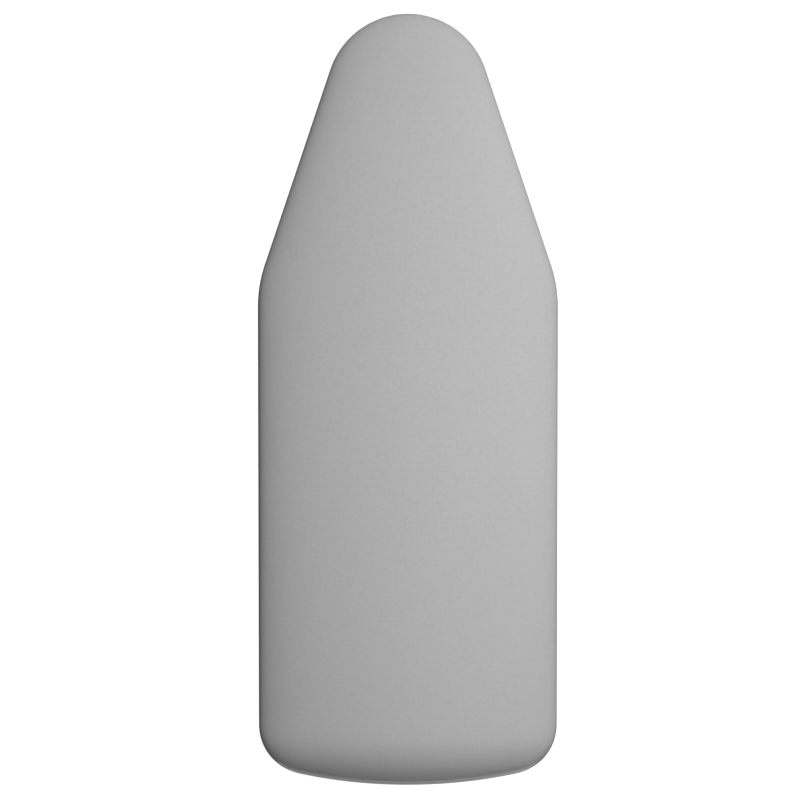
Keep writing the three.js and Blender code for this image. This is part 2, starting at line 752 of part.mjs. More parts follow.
// The lever and its clamp plates, drawn upright about the pin and then tilted to their rest.
function addLever() {
  const group = new THREE.Group();
  group.position.set(...leverPlace);
  group.rotation.x = lever.restTilt;
  ironingBoard.add(group);
  eachSide((side, sign) => {
    add(`clamp_plate_${side}`, clampPlate(sign), material.steel, group);
  });
  add('lever_bail', leverBail(), material.steel, group);
  const { gripRadius, gripChamfer } = lever;
  const end = lever.gripLength / 2;
  const bore = lever.wireRadius + gap;
  const grip = turned([[-end, bore], [-end, gripRadius - gripChamfer],
    [gripChamfer - end, gripRadius], [end - gripChamfer, gripRadius],
    [end, gripRadius - gripChamfer], [end, bore], [-end, bore]]);
  add('lever_grip', grip, material.plastic, group, [0, -lever.reach, 0]);
}

// An angle of plate: its face stands round the rod, and its side is hinged on the pin.
function clampPlate(sign) {
  const back = -lever.plateBehind - lever.plate;
  const inner = rod.spread - lever.holeRadius - lever.holeMargin;
  const face = box([inner, back, -lever.plateDrop],
    [plateEdge, -lever.plateBehind, lever.plateHeight - lever.plateDrop]);
  const side = box([plateEdge - lever.plate, back, -lever.plateDrop],
    [plateEdge, lever.plateDrop, lever.plateDrop + lever.pinMargin]);
  const rodHole = alongY(borer(lever.holeRadius))
    .translate(rod.spread, 0, rod.rise - lever.pinRise);
  const pinHole = borer(lever.pinRadius + clearance);
  const plate = cut(join(face, side), rodHole, pinHole);
  return sign < 0 ? mirror(plate) : plate;
}

function leverBail() {
  const { reach, bend, wireRadius } = lever;
  const start = -lever.plateBehind - lever.plate - gap;
  const path = new THREE.CurvePath();
  const at = (x, y) => new THREE.Vector3(x, y, 0);
  path.add(new THREE.LineCurve3(at(bailX, start), at(bailX, bend - reach)));
  path.add(new THREE.QuadraticBezierCurve3(
    at(bailX, bend - reach), at(bailX, -reach), at(bailX - bend, -reach),
  ));
  path.add(new THREE.LineCurve3(at(bailX - bend, -reach), at(bend - bailX, -reach)));
  path.add(new THREE.QuadraticBezierCurve3(
    at(bend - bailX, -reach), at(-bailX, -reach), at(-bailX, bend - reach),
  ));
  path.add(new THREE.LineCurve3(at(-bailX, bend - reach), at(-bailX, start)));
  const settings = { steps: 30, extrudePath: path, bevelEnabled: false };
  return new THREE.ExtrudeGeometry(disc(wireRadius, 8), settings);
}

// ------------------------------------------------------------------ transport catch

// Drawn hanging down, as it holds the folded brace, then swung forward to its rest.
function addTransportCatch() {
  const inner = hook.width / 2 + gap;
  const height = railBottom - gap - hookZ;
  const ears = clevis(inner, hook.cheek, hook.bracketLength, height, hook.pinRadius);
  add('catch_bracket', ears, material.frameEnamel, ironingBoard, [0, hookY, hookZ]);
  const outer = inner + hook.cheek + gap;
  const end = outer + hook.headLength;
  const { pinRadius, headRadius, chamfer } = hook;
  const profile = [[-end, 0], [-end, headRadius], [-outer, headRadius], [-outer, pinRadius],
    [outer, pinRadius], [outer, headRadius], [end, headRadius], [end, 0]];
  add('catch_pin', turned(profile, 12), material.steel, ironingBoard, [0, hookY, hookZ]);

  const lipTop = -hook.rise - legs.braceRadius - hook.clearance;
  const front = hook.shank / 2;
  const outline = new THREE.Shape();
  outline.moveTo(hook.boss, 0);
  outline.absarc(0, 0, hook.boss, 0, Math.PI, false);
  outline.lineTo(-front, lipTop);
  outline.lineTo(-hook.lipReach, lipTop);
  outline.lineTo(chamfer - hook.lipReach, lipTop - hook.lip);
  outline.lineTo(front - chamfer, lipTop - hook.lip);
  outline.lineTo(front, lipTop - hook.lip + chamfer);
  outline.lineTo(hook.boss, 0);
  const shape = cut(slab(outline, hook.width), borer(pinRadius + clearance));
  const swung = add('transport_catch', shape, material.plastic, ironingBoard, [0, hookY, hookZ]);
  swung.rotation.x = Math.PI / 2;
}

addCover();
addHemElastic();
addPad();
addTopSheet();
addRim();
addCrossRails();
addRearHinge();
addLegs();
addGuideRods();
addRodHangers();
addSliders();
addLeverPin();
addLeverSpring();
addLever();
addTransportCatch();

export default ironingBoard;
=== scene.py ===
"""A full-size folding ironing board: its fabrics, metals and mouldings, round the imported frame.

Builders work in millimetres, and new_piece turns their shapes into metres. +X is the board's
right, +Y points to its nose and +Z up, with the origin on the floor under its middle.
"""

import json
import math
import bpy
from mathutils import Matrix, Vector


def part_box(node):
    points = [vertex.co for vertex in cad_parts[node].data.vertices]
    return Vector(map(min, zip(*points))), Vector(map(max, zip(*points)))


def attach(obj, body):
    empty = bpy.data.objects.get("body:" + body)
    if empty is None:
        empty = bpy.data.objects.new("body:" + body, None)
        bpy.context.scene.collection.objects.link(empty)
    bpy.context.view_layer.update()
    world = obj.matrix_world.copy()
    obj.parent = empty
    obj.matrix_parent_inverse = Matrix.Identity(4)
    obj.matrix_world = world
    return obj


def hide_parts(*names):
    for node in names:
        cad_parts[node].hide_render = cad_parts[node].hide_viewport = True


bl_info = {
    "name": "Ironing Board",
    "version": (1, 0, 0),
    "blender": (4, 5, 0),
    "location": "View3D > Sidebar > Ironing Board",
    "description": "Builds a padded, folding ironing board round its packed frame",
    "category": "Object",
}

import bmesh
import bpy
import numpy as np
from bpy.props import FloatProperty, FloatVectorProperty, IntProperty, PointerProperty
from mathutils import Matrix, Vector
from mathutils.geometry import delaunay_2d_cdt

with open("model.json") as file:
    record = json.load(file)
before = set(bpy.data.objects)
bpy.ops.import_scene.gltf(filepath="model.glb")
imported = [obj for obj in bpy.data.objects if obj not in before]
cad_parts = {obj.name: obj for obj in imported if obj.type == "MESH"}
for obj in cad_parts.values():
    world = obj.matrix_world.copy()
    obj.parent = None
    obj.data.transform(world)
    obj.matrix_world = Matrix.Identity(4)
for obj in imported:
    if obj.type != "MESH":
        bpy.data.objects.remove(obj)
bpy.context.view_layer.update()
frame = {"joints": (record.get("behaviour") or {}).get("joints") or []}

MM = 0.001
TAU = 2 * math.pi

# ------------------------------------------------------------------ places from the frame


def box(node):
    """Lowest and highest corner of a frame node, in millimetres."""
    low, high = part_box(node)
    return np.array(low) / MM, np.array(high) / MM


def middle(node):
    low, high = box(node)
    return (low + high) / 2


def size(node):
    low, high = box(node)
    return high - low


def joint(name):
    return next(j for j in frame["joints"] if j["name"] == name)


def pivot(name):
    return np.array(joint(name)["pos_m"]) / MM


# ------------------------------------------------------------------ sizes, in millimetres

NOSE_RADIUS, SHOULDER_RADIUS, CORNER_RADIUS, END_RADIUS = 127, 204, 82, 707
TAPER, SIDE_LEAN = math.radians(18.55), math.radians(0.16)
ROLL_LENGTH, ROLL_RADIUS = 80, 130          # the rear end curves down
OUTLINE_STEP = 6

BOARD_LENGTH = size("cover")[1]
BOARD_WIDTH = 2 * box("cover")[1][0]
TOP = box("cover")[1][2]
RIM_RADIUS, RIM_WALL = 10, 1.2
RAILS = ("cross_rail_rear", "cross_rail_centre", "cross_rail_middle", "cross_rail_front")
RIM_INSET = 11.6                            # outline to the rim's middle line
SHEET_HIGH, SHEET_GAUGE, GAP = box("top_sheet")[1][2], 0.8, 0.3
RIM_Z = SHEET_HIGH - SHEET_GAUGE - GAP - RIM_RADIUS
PAD_LOW = box("underlay_pad")[1][2] - 7

CLOTH = 0.9                                 # cover thickness
CROWN_WIDTH = 110                           # the padding falls off over this width
RING_REACH = 80                             # the innermost ring stands this far in
HEM_REACH = 41.5                            # outline to the elastic
HEM_DROP = 0.65                             # the elastic sags this far in its casing
CASING = 2.85                               # casing's radius round the elastic
ELASTIC = 1.75

TUBE = size("outer_leg_foot_bar")[2] / 2
TUBE_WALL = 1.2
EYE_LENGTH = 14                             # leg tube past its hinge
BOLT, ROD, AXLE, LEVER_PIN, CATCH_PIN = 4, 5, 5, 3, 2.5     # radii; bores are GAP wider

HINGE, CROSSING, SLIDE, LEVER, CATCH = (
    pivot(name) * (0, 1, 1)
    for name in ("leg_fold", "leg_crossing", "front_pivot", "lever_squeeze", "catch_swing")
)
LEVER_TILT = math.radians(joint("lever_squeeze")["range_deg"][1])


# ------------------------------------------------------------------ settings


class CoverSettings(bpy.types.PropertyGroup):
    colour: FloatVectorProperty(
        name="Fabric", description="Colour of the woven cover", subtype="COLOR_GAMMA", size=3,
        default=(0.72, 0.72, 0.72), min=0, max=1)
    crown: FloatProperty(
        name="Crown", description="Height of the padding over the frame's top", unit="LENGTH",
        default=3 * MM, min=0, max=6 * MM)
    gathers: FloatProperty(
        name="Gathers", description="Depth of the gathers along the hem", unit="LENGTH",
        default=1.3 * MM, min=0, max=2 * MM)
    columns: IntProperty(
        name="Columns", description="Faces across the flat of the cover", default=28, min=8,
        max=80)


class TopSettings(bpy.types.PropertyGroup):
    hole: FloatProperty(
        name="Hole", description="Diameter of the steam holes", unit="LENGTH",
        default=8 * MM, min=2 * MM, max=11 * MM)
    pitch: FloatProperty(
        name="Pitch", description="Distance between steam holes", unit="LENGTH",
        default=14 * MM, min=12 * MM, max=40 * MM)


class FrameSettings(bpy.types.PropertyGroup):
    colour: FloatVectorProperty(
        name="Enamel", description="Colour of the powder-coated legs", subtype="COLOR_GAMMA",
        size=3, default=(0.835, 0.843, 0.851), min=0, max=1)
    sides: IntProperty(
        name="Sides", description="Faces round a tube", default=40, min=12, max=96)


class StageSettings(bpy.types.PropertyGroup):
    key: FloatProperty(
        name="Key", description="Power of the long softbox", unit="POWER", default=5.7, min=0)
    second: FloatProperty(
        name="Second", description="Power of the softbox beyond the nose", unit="POWER",
        default=5.7, min=0)
    fill: FloatProperty(
        name="Fill", description="Strength of the even light all round", default=0.08, min=0)
    height: FloatProperty(
        name="Camera height", description="Camera above the floor", unit="LENGTH",
        default=3.8065, min=1.5)


class BoardSettings(bpy.types.PropertyGroup):
    cover: PointerProperty(type=CoverSettings)
    top: PointerProperty(type=TopSettings)
    legs: PointerProperty(type=FrameSettings)
    stage: PointerProperty(type=StageSettings)


def settings():
    return bpy.context.scene.ironing_board


# ------------------------------------------------------------------ materials


def linear(value):
    """sRGB hex or a triple of sRGB shares, as linear RGBA."""
    if isinstance(value, str):
        value = [int(value[i:i + 2], 16) / 255 for i in (1, 3, 5)]
    bent = [c / 12.92 if c <= 0.04045 else ((c + 0.055) / 1.055) ** 2.4 for c in value]
    return (*bent, 1.0)


def shade(colour, share):
    """A linear colour made lighter or darker by a share."""
    return (*(min(1.0, c * share) for c in colour[:3]), 1.0)


def grains(millimetres):
    """Noise and Voronoi scale for grains of this size."""
    return 1 / (millimetres * MM)


def bands(millimetres):
    """Wave scale for bands this far apart."""
    return TAU / 20 / (millimetres * MM)


def add_node(tree, kind, output=0, ends=None, **values):
    """Adds a node and gives its output socket. A value sets the input of that name, or the
    numbered one (in_0, in_1), or else the node's own property; a socket is linked. `ends`
    holds a colour ramp's two colours."""
    node = tree.nodes.new("ShaderNode" + kind)
    for key, value in values.items():
        name = key.replace("_", " ")
        if key.startswith("in_"):
            socket = node.inputs[int(key[3:])]
        elif name in node.inputs:
            socket = node.inputs[name]
        else:
            setattr(node, key, value)
            continue
        if isinstance(value, bpy.types.NodeSocket):
            tree.links.new(value, socket)
        else:
            socket.default_value = value
    for element, colour in zip(node.color_ramp.elements if ends else (), ends or ()):
        element.color = colour
    return node.outputs[output]


def new_material(name, **values):
    """A material with one Principled shader: (tree, object coordinates, finish). `finish` links
    the sockets it is given to the shader's inputs and returns the material."""
    material = bpy.data.materials.new(name)
    material.use_nodes = True
    tree = material.node_tree
    shader = tree.nodes["Principled BSDF"]
    for key, value in values.items():
        shader.inputs[key.replace("_", " ")].default_value = value

    def finish(**sockets):
        for key, socket in sockets.items():
            tree.links.new(socket, shader.inputs[key.replace("_", " ")])
        return material

    return tree, add_node(tree, "TexCoord", "Object"), finish


def woven_cotton():
    """Plain-woven cotton, stretched: matt, with close ribs across the board. Its threads are
    0.6 mm apart, too fine to see, so the ribs are drawn 3.1 mm apart."""
    base = linear(tuple(settings().cover.colour))
    tree, place, finish = new_material(
        "woven_cotton_cover", Roughness=0.86, Sheen_Weight=0.04, Sheen_Roughness=0.5,
        Specular_IOR_Level=0.2)
    weft = add_node(tree, "TexWave", "Fac", Vector=place, bands_direction="Y", Scale=bands(3.1),
                    Distortion=0.6)
    warp = add_node(tree, "TexWave", "Fac", Vector=place, bands_direction="X", Scale=bands(3.1),
                    Distortion=0.6)
    slubs = add_node(tree, "TexNoise", "Fac", Vector=place, Scale=grains(4.5))
    threads = add_node(tree, "Mix", Factor=0.35, A=weft, B=warp)
    mottle = add_node(tree, "Mix", Factor=0.7, A=threads, B=slubs)
    colour = add_node(tree, "ValToRGB", Fac=mottle, ends=(shade(base, 0.9), shade(base, 1.1)))
    normal = add_node(tree, "Bump", Height=threads, Distance=0.12 * MM, Strength=0.5)
    return finish(Base_Color=colour, Normal=normal)


def sewing_thread():
    """Spun polyester thread: matt, its plies seen as a fine twist."""
    tree, place, finish = new_material("spun_polyester_thread", Roughness=0.7)
    twist = add_node(tree, "TexWave", "Fac", Vector=place, bands_direction="DIAGONAL",
                     Scale=bands(0.9))
    colour = add_node(tree, "ValToRGB", Fac=twist, ends=(linear("#85878A"), linear("#A3A5A8")))
    normal = add_node(tree, "Bump", Height=twist, Distance=0.1 * MM)
    return finish(Base_Color=colour, Normal=normal)


def braided_elastic():
    """Rubber core in a white polyester braid: a fine diagonal plait, 1.2 mm apart."""
    tree, place, finish = new_material("braided_elastic", Roughness=0.75)
    plait = add_node(tree, "TexWave", "Fac", Vector=place, bands_direction="DIAGONAL",
                     Scale=bands(1.2), Distortion=1.0)
    colour = add_node(tree, "ValToRGB", Fac=plait, ends=(linear("#CFCBC2"), linear("#F0EEE8")))
    normal = add_node(tree, "Bump", Height=plait, Distance=0.2 * MM)
    return finish(Base_Color=colour, Normal=normal)


def needled_felt():
    """Needle-punched felt: off-white and fuzzy, with stray fibres and darker flecks."""
    tree, place, finish = new_material(
        "needled_felt_pad", Roughness=1.0, Sheen_Weight=0.3, Sheen_Roughness=0.6)
    fibres = add_node(tree, "TexNoise", "Fac", Vector=place, Scale=grains(1.5), Detail=6.0)
    flecks = add_node(tree, "TexNoise", "Fac", Vector=place, Scale=grains(9), Detail=3.0)
    both = add_node(tree, "Mix", Factor=0.5, A=fibres, B=flecks)
    colour = add_node(tree, "ValToRGB", Fac=both, ends=(linear("#BEB7A6"), linear("#E9E4D8")))
    normal = add_node(tree, "Bump", Height=fibres, Distance=0.5 * MM)
    return finish(Base_Color=colour, Normal=normal)


def galvanised_steel():
    """Hot-dip galvanised sheet: dull metal with frosted spangles 15 mm across."""
    tree, place, finish = new_material("galvanised_sheet_steel", Metallic=1.0)
    spangle = add_node(tree, "TexVoronoi", "Color", Vector=place, Scale=grains(15))
    frost = add_node(tree, "TexNoise", "Fac", Vector=place, Scale=grains(3))
    grain = add_node(tree, "Mix", Factor=0.4, A=add_node(tree, "RGBToBW", Color=spangle), B=frost)
    colour = add_node(tree, "ValToRGB", Fac=grain, ends=(linear("#9BA0A5"), linear("#C5C9CC")))
    rough = add_node(tree, "MapRange", Value=grain, To_Min=0.38, To_Max=0.6)
    return finish(Base_Color=colour, Roughness=rough)


def powder_coat(name, colour):
    """Baked polyester powder coat on steel: satin, with an orange peel of about 1.5 mm."""
    base = linear(colour)
    tree, place, finish = new_material(name, Coat_Weight=0.15, Coat_Roughness=0.2)
    patches = add_node(tree, "TexNoise", "Fac", Vector=place, Scale=grains(45), Detail=3.0)
    peel = add_node(tree, "TexNoise", "Fac", Vector=place, Scale=grains(1.5), Detail=1.0)
    colour = add_node(tree, "ValToRGB", Fac=patches, ends=(shade(base, 0.94), shade(base, 1.03)))
    rough = add_node(tree, "MapRange", Value=patches, To_Min=0.3, To_Max=0.46)
    normal = add_node(tree, "Bump", Height=peel, Distance=0.05 * MM, Strength=0.4)
    return finish(Base_Color=colour, Roughness=rough, Normal=normal)


def bright_steel(name, dark, light, grain, low, high):
    """Plated or drawn steel: metal with drifting tints, rubbed patches and fine drawing lines."""
    tree, place, finish = new_material(name, Metallic=1.0)
    tint = add_node(tree, "TexNoise", "Fac", Vector=place, Scale=grains(grain), Detail=4.0)
    lines = add_node(tree, "TexNoise", "Fac", Vector=place, Scale=grains(0.6))
    colour = add_node(tree, "ValToRGB", Fac=tint, ends=(linear(dark), linear(light)))
    rough = add_node(tree, "MapRange", Value=tint, To_Min=low, To_Max=high)
    normal = add_node(tree, "Bump", Height=lines, Distance=0.03 * MM, Strength=0.5)
    return finish(Base_Color=colour, Roughness=rough, Normal=normal)


def moulded(name, dark, light, grain, roughness, depth):
    """Injection-moulded polymer: flow mottling under a spark-eroded grain of this size (mm)."""
    tree, place, finish = new_material(name, Roughness=roughness)
    texture = add_node(tree, "TexNoise", "Fac", Vector=place, Scale=grains(grain), Detail=3.0)
    flow = add_node(tree, "TexNoise", "Fac", Vector=place, Scale=grains(18))
    both = add_node(tree, "Mix", Factor=0.5, A=texture, B=flow)
    colour = add_node(tree, "ValToRGB", Fac=both, ends=(linear(dark), linear(light)))
    normal = add_node(tree, "Bump", Height=texture, Distance=depth * MM, Strength=0.8)
    return finish(Base_Color=colour, Normal=normal)


materials = {}


def make_materials():
    legs = tuple(settings().legs.colour)
    materials.update(
        cotton=woven_cotton(),
        thread=sewing_thread(),
        braid=braided_elastic(),
        felt=needled_felt(),
        sheet=galvanised_steel(),
        frame_enamel=powder_coat("powder_coat_frame", "#C6C9CB"),
        leg_enamel=powder_coat("powder_coat_legs", legs),
        zinc=bright_steel("zinc_plated_steel", "#A9ADB2", "#CFD2D1", 14, 0.22, 0.4),
        spring=bright_steel("drawn_spring_steel", "#6E7276", "#9A9DA0", 5, 0.25, 0.4),
        rubber=moulded("moulded_rubber", "#262728", "#3C3D3F", 1.4, 0.82, 0.15),
        plastic=moulded("moulded_polypropylene", "#47494C", "#5E6164", 1.1, 0.5, 0.08),
    )


# ------------------------------------------------------------------ shapes
#
# A shape is (points, faces): an array of points in millimetres and a list of index lists.


def merged(*shapes):
    points, faces, start = [], [], 0
    for vertices, polygons in shapes:
        points.append(np.asarray(vertices, float))
        faces += [[start + i for i in polygon] for polygon in polygons]
        start += len(vertices)
    return np.concatenate(points), faces


def placed(shape, at=(0, 0, 0), turn=0.0, flip=False):
    """The shape turned about +X, turned over left to right if asked, and moved."""
    points, faces = shape
    c, s = math.cos(turn), math.sin(turn)
    side = -1 if flip else 1
    turned = np.stack([side * points[:, 0], c * points[:, 1] - s * points[:, 2],
                       s * points[:, 1] + c * points[:, 2]], 1)
    return turned + np.asarray(at, float), faces


def along_y(shape):
    """A shape on the X axis, laid along Y."""
    points, faces = shape
    return points[:, [1, 0, 2]] * (-1, 1, 1), faces


def along_z(shape):
    """A shape on the X axis, stood along Z."""
    points, faces = shape
    return points[:, [2, 1, 0]], faces


def both_ways(half):
    """A profile from its right-hand half: the same about the middle."""
    return [(-x, radius) for x, radius in half[::-1]] + half


def softened(corners, radius, steps=3, closed=True):
    """A 2-D line with each corner rounded off by a short curve."""
    corners = [np.asarray(c, float) for c in corners]
    count, line = len(corners), []
    for i, corner in enumerate(corners):
        if not closed and i in (0, count - 1):
            line.append(corner)
            continue
        before, after = corners[i - 1], corners[(i + 1) % count]
        ends = []
        for other in (before, after):
            reach = np.linalg.norm(other - corner)
            ends.append(corner + (other - corner) * min(radius, 0.45 * reach) / reach)
        for t in np.linspace(0, 1, steps + 1):
            line.append((1 - t) ** 2 * ends[0] + 2 * t * (1 - t) * corner + t * t * ends[1])
    return np.array(line)


def circle(radius, sides, centre=(0, 0)):
    angles = np.arange(sides) * TAU / sides
    return np.stack([centre[0] + radius * np.cos(angles), centre[1] + radius * np.sin(angles)], 1)


def bridged(rings, closed):
    """Faces between rings of equal length, each a closed loop; `closed` joins last to first."""
    count, sides = len(rings), len(rings[0])
    faces = []
    for row in range(count if closed else count - 1):
        a, b = row * sides, (row + 1) % count * sides
        faces += [[a + i, a + (i + 1) % sides, b + (i + 1) % sides, b + i] for i in range(sides)]
    return faces


def lathed(profile, sides=None, closed=True):
    """A turned shape on the X axis from (x, radius) pairs. A profile that starts and ends on
    the axis is capped there; any other is a closed ring."""
    sides = sides or settings().legs.sides
    profile = [tuple(p) for p in profile]
    solid = profile[0][1] < 1e-6
    body = profile[1:-1] if solid else profile
    angles = np.arange(sides) * TAU / sides
    rings = [np.stack([np.full(sides, x), r * np.cos(angles), r * np.sin(angles)], 1)
             for x, r in body]
    faces = bridged(rings, not solid and closed)
    points = np.concatenate(rings)
    if solid:
        poles = [[profile[0][0], 0, 0], [profile[-1][0], 0, 0]]
        first, last = len(points), len(points) + 1
        end = (len(body) - 1) * sides
        faces += [[first, (i + 1) % sides, i] for i in range(sides)]
        faces += [[last, end + i, end + (i + 1) % sides] for i in range(sides)]
        points = np.concatenate([points, poles])
    return points, faces


def swept(path, section, closed=False):
    """A round or flat section carried along a path, its twist kept to the least."""
    path = np.asarray(path, float)
    count = len(path)
    if closed:
        ahead = np.roll(path, -1, 0) - np.roll(path, 1, 0)
    else:
        ahead = np.gradient(path, axis=0)
    ahead /= np.linalg.norm(ahead, axis=1)[:, None]
    start = np.cross(ahead[0], (0, 0, 1) if abs(ahead[0][2]) < 0.9 else (1, 0, 0))
    side = start / np.linalg.norm(start)
    rings = []
    for k in range(count):
        side = side - ahead[k] * (side @ ahead[k])
        side /= np.linalg.norm(side)
        up = np.cross(ahead[k], side)
        ring = section[k] if np.ndim(section) == 3 else section
        rings.append(path[k] + np.outer(ring[:, 0], side) + np.outer(ring[:, 1], up))
    faces = bridged(rings, closed)
    if not closed:
        sides = len(rings[0])
        faces += [list(range(sides))[::-1], [(count - 1) * sides + i for i in range(sides)]]
    return np.concatenate(rings), faces


def prism(outline, width, chamfer=0.4, holes=(), plane="YZ"):
    """A flat plate, `width` thick about the middle, with chamfered edges. The outline and the
    holes lie in the YZ plane, or in XZ or XY."""
    loops = []
    for loop in (outline, *holes):
        loop = np.asarray(loop, float)
        ahead = np.roll(loop, -1, 0)
        turn = (loop[:, 0] * ahead[:, 1] - loop[:, 1] * ahead[:, 0]).sum()
        loops.append(loop if turn > 0 else loop[::-1])
    rings, starts = [], []
    for k, loop in enumerate(loops):
        edge = np.roll(loop, -1, 0) - np.roll(loop, 1, 0)
        normal = np.stack([edge[:, 1], -edge[:, 0]], 1)
        normal /= np.linalg.norm(normal, axis=1)[:, None] + 1e-12
        inner = loop - normal * chamfer * (1 if k == 0 else -1)
        starts.append(sum(4 * len(other) for other in loops[:k]))
        half = width / 2
        for flat, height in ((inner, half), (loop, half - chamfer), (loop, chamfer - half),
                             (inner, -half)):
            rings.append(np.column_stack([flat, np.full(len(flat), height)]))
    faces = []
    for k, loop in enumerate(loops):
        four = rings[4 * k:4 * k + 4]
        faces += [[starts[k] + i for i in face] for face in bridged(four, False)]
    flat = [Vector(p[:2]) for k in range(len(loops)) for p in rings[4 * k]]
    edges, index, first = [], [], 0
    for k, loop in enumerate(loops):
        count = len(loop)
        edges += [(first + i, first + (i + 1) % count) for i in range(count)]
        index += [starts[k] + i for i in range(count)]
        first += count
    made = delaunay_2d_cdt(flat, edges, [], 2, 1e-7)
    origin = [index[source[0]] for source in made[3]]
    lengths = [len(loop) for loop in loops for _ in loop]
    first_hole = 4 * len(loops[0])
    below = dict(zip(index, (i + 3 * count for i, count in zip(index, lengths))))
    for face in made[2]:
        upper = [origin[i] for i in face]
        if min(upper) >= first_hole and len({int(np.searchsorted(starts, i, "right"))
                                             for i in upper}) == 1:
            continue                                    # the disc that a hole takes out
        faces += [upper, [below[i] for i in reversed(upper)]]
    points = np.concatenate(rings)
    order = {"YZ": (2, 0, 1), "XZ": (0, 2, 1), "XY": (0, 1, 2)}[plane]
    return points[:, order], faces


def hollow_tube(start, end, radius, wall, sides=None, mouth=None):
    """A straight tube with rounded lips. `mouth` is the radius of the cross tube that the far
    end is shaped to fit, whose axis runs along X through `end`."""
    sides = sides or settings().legs.sides
    start, end = np.asarray(start, float), np.asarray(end, float)
    length = np.linalg.norm(end - start)
    along = (end - start) / length
    across = np.array([1.0, 0, 0]) if abs(along[0]) < 0.5 else np.array([0, 1.0, 0])
    up = np.cross(along, across)
    angles = np.arange(sides) * TAU / sides
    lip = wall / 2
    rings = []
    for r, shift in ((radius, lip), (radius - lip / 2, lip / 4), (radius - lip, 0),
                     (radius - wall + lip / 2, lip / 4), (radius - wall, lip)):
        for far in (False, True):
            side, rise = r * np.cos(angles), r * np.sin(angles)
            reach = np.full(sides, shift)
            if far:
                fit = np.sqrt(mouth ** 2 - np.minimum(np.abs(rise), mouth) ** 2) if mouth else 0
                reach = length - fit - (0 if mouth else shift)
            rings.append((far, start + np.outer(side, across) + np.outer(rise, up)
                          + np.outer(np.broadcast_to(reach, sides), along)))
    near = [ring for far, ring in rings if not far]
    away = [ring for far, ring in rings if far]
    loop = near + away[::-1]
    return np.concatenate(loop), bridged(loop, True)


def weld_bead(centre, along, radius, across_radius, bead=1.5):
    """A rippled fillet weld where a tube meets a cross tube whose axis runs along X."""
    along = np.asarray(along, float) / np.linalg.norm(along)
    across, sides, around = np.array([1.0, 0, 0]), 8, 96
    up = np.cross(along, across)
    angles = np.arange(around) * TAU / around
    reach = radius + 0.4
    rise = reach * np.sin(angles)
    fit = np.sqrt(np.maximum((across_radius + 0.4) ** 2 - rise ** 2, 0.2))
    path = (np.asarray(centre, float) + np.outer(reach * np.cos(angles), across)
            + np.outer(rise, up) - np.outer(fit, along))
    ripple = 1 + 0.16 * np.sin(24 * angles)
    section = np.array([circle(bead * r, sides) for r in ripple])
    return swept(path, section, closed=True)


# ------------------------------------------------------------------ pieces


def new_object(name, shape, material):
    """A mesh object from a shape in millimetres, its faces turned outwards."""
    points, faces = shape
    mesh = bpy.data.meshes.new(name)
    mesh.from_pydata((np.asarray(points, float) * MM).tolist(), [], faces)
    work = bmesh.new()
    work.from_mesh(mesh)
    bmesh.ops.recalc_face_normals(work, faces=work.faces)
    work.to_mesh(mesh)
    work.free()
    mesh.materials.append(material)
    made = bpy.data.objects.new(name, mesh)
    bpy.context.scene.collection.objects.link(made)
    return made


def bored(piece, *cutters):
    """Cuts shapes out of a piece for good."""
    tools = [new_object("cutter", cutter, piece.data.materials[0]) for cutter in cutters]
    for tool in tools:
        piece.modifiers.new("bore", "BOOLEAN").object = tool
        piece.modifiers[-1].operation = "DIFFERENCE"
    bpy.context.view_layer.update()
    solid = piece.evaluated_get(bpy.context.evaluated_depsgraph_get())
    mesh = bpy.data.meshes.new_from_object(solid)
    piece.modifiers.clear()
    piece.data = mesh
    for tool in tools:
        bpy.data.objects.remove(tool)


def new_piece(name, shape, material, body, slot, *stands_for, bores=(), also=None, place=None,
              crease=32):
    """A finished piece of the board, standing for the frame nodes it is named with. The bores
    are cut, then the shape `also` is added, and then the whole is moved by `place`."""
    piece = new_object(name, shape, materials[material])
    if bores:
        bored(piece, *bores)
    if also:
        extra, work = new_object("extra", also, materials[material]), bmesh.new()
        for item in (piece, extra):
            work.from_mesh(item.data)
        work.to_mesh(piece.data)
        work.free()
        bpy.data.objects.remove(extra)
    if place:
        piece.data.transform(place)
        if place.determinant() < 0:
            piece.data.flip_normals()
    piece.data.shade_smooth()
    piece.data.set_sharp_from_angle(angle=math.radians(crease))
    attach(piece, body)
    if stands_for:
        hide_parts(*stands_for)
    return piece


def shifted(place):
    """A matrix that moves a mesh by millimetres."""
    return Matrix.Translation(Vector(place) * MM)


def bore(radius, at=(0, 0, 0), turn=0.0, lengthwise=False, reach=60):
    """A cutter along X, or along Y if lengthwise."""
    shape = lathed([(-reach, 0), (-reach, radius), (reach, radius), (reach, 0)])
    return placed(along_y(shape) if lengthwise else shape, at, turn)


# ------------------------------------------------------------------ outline and crown


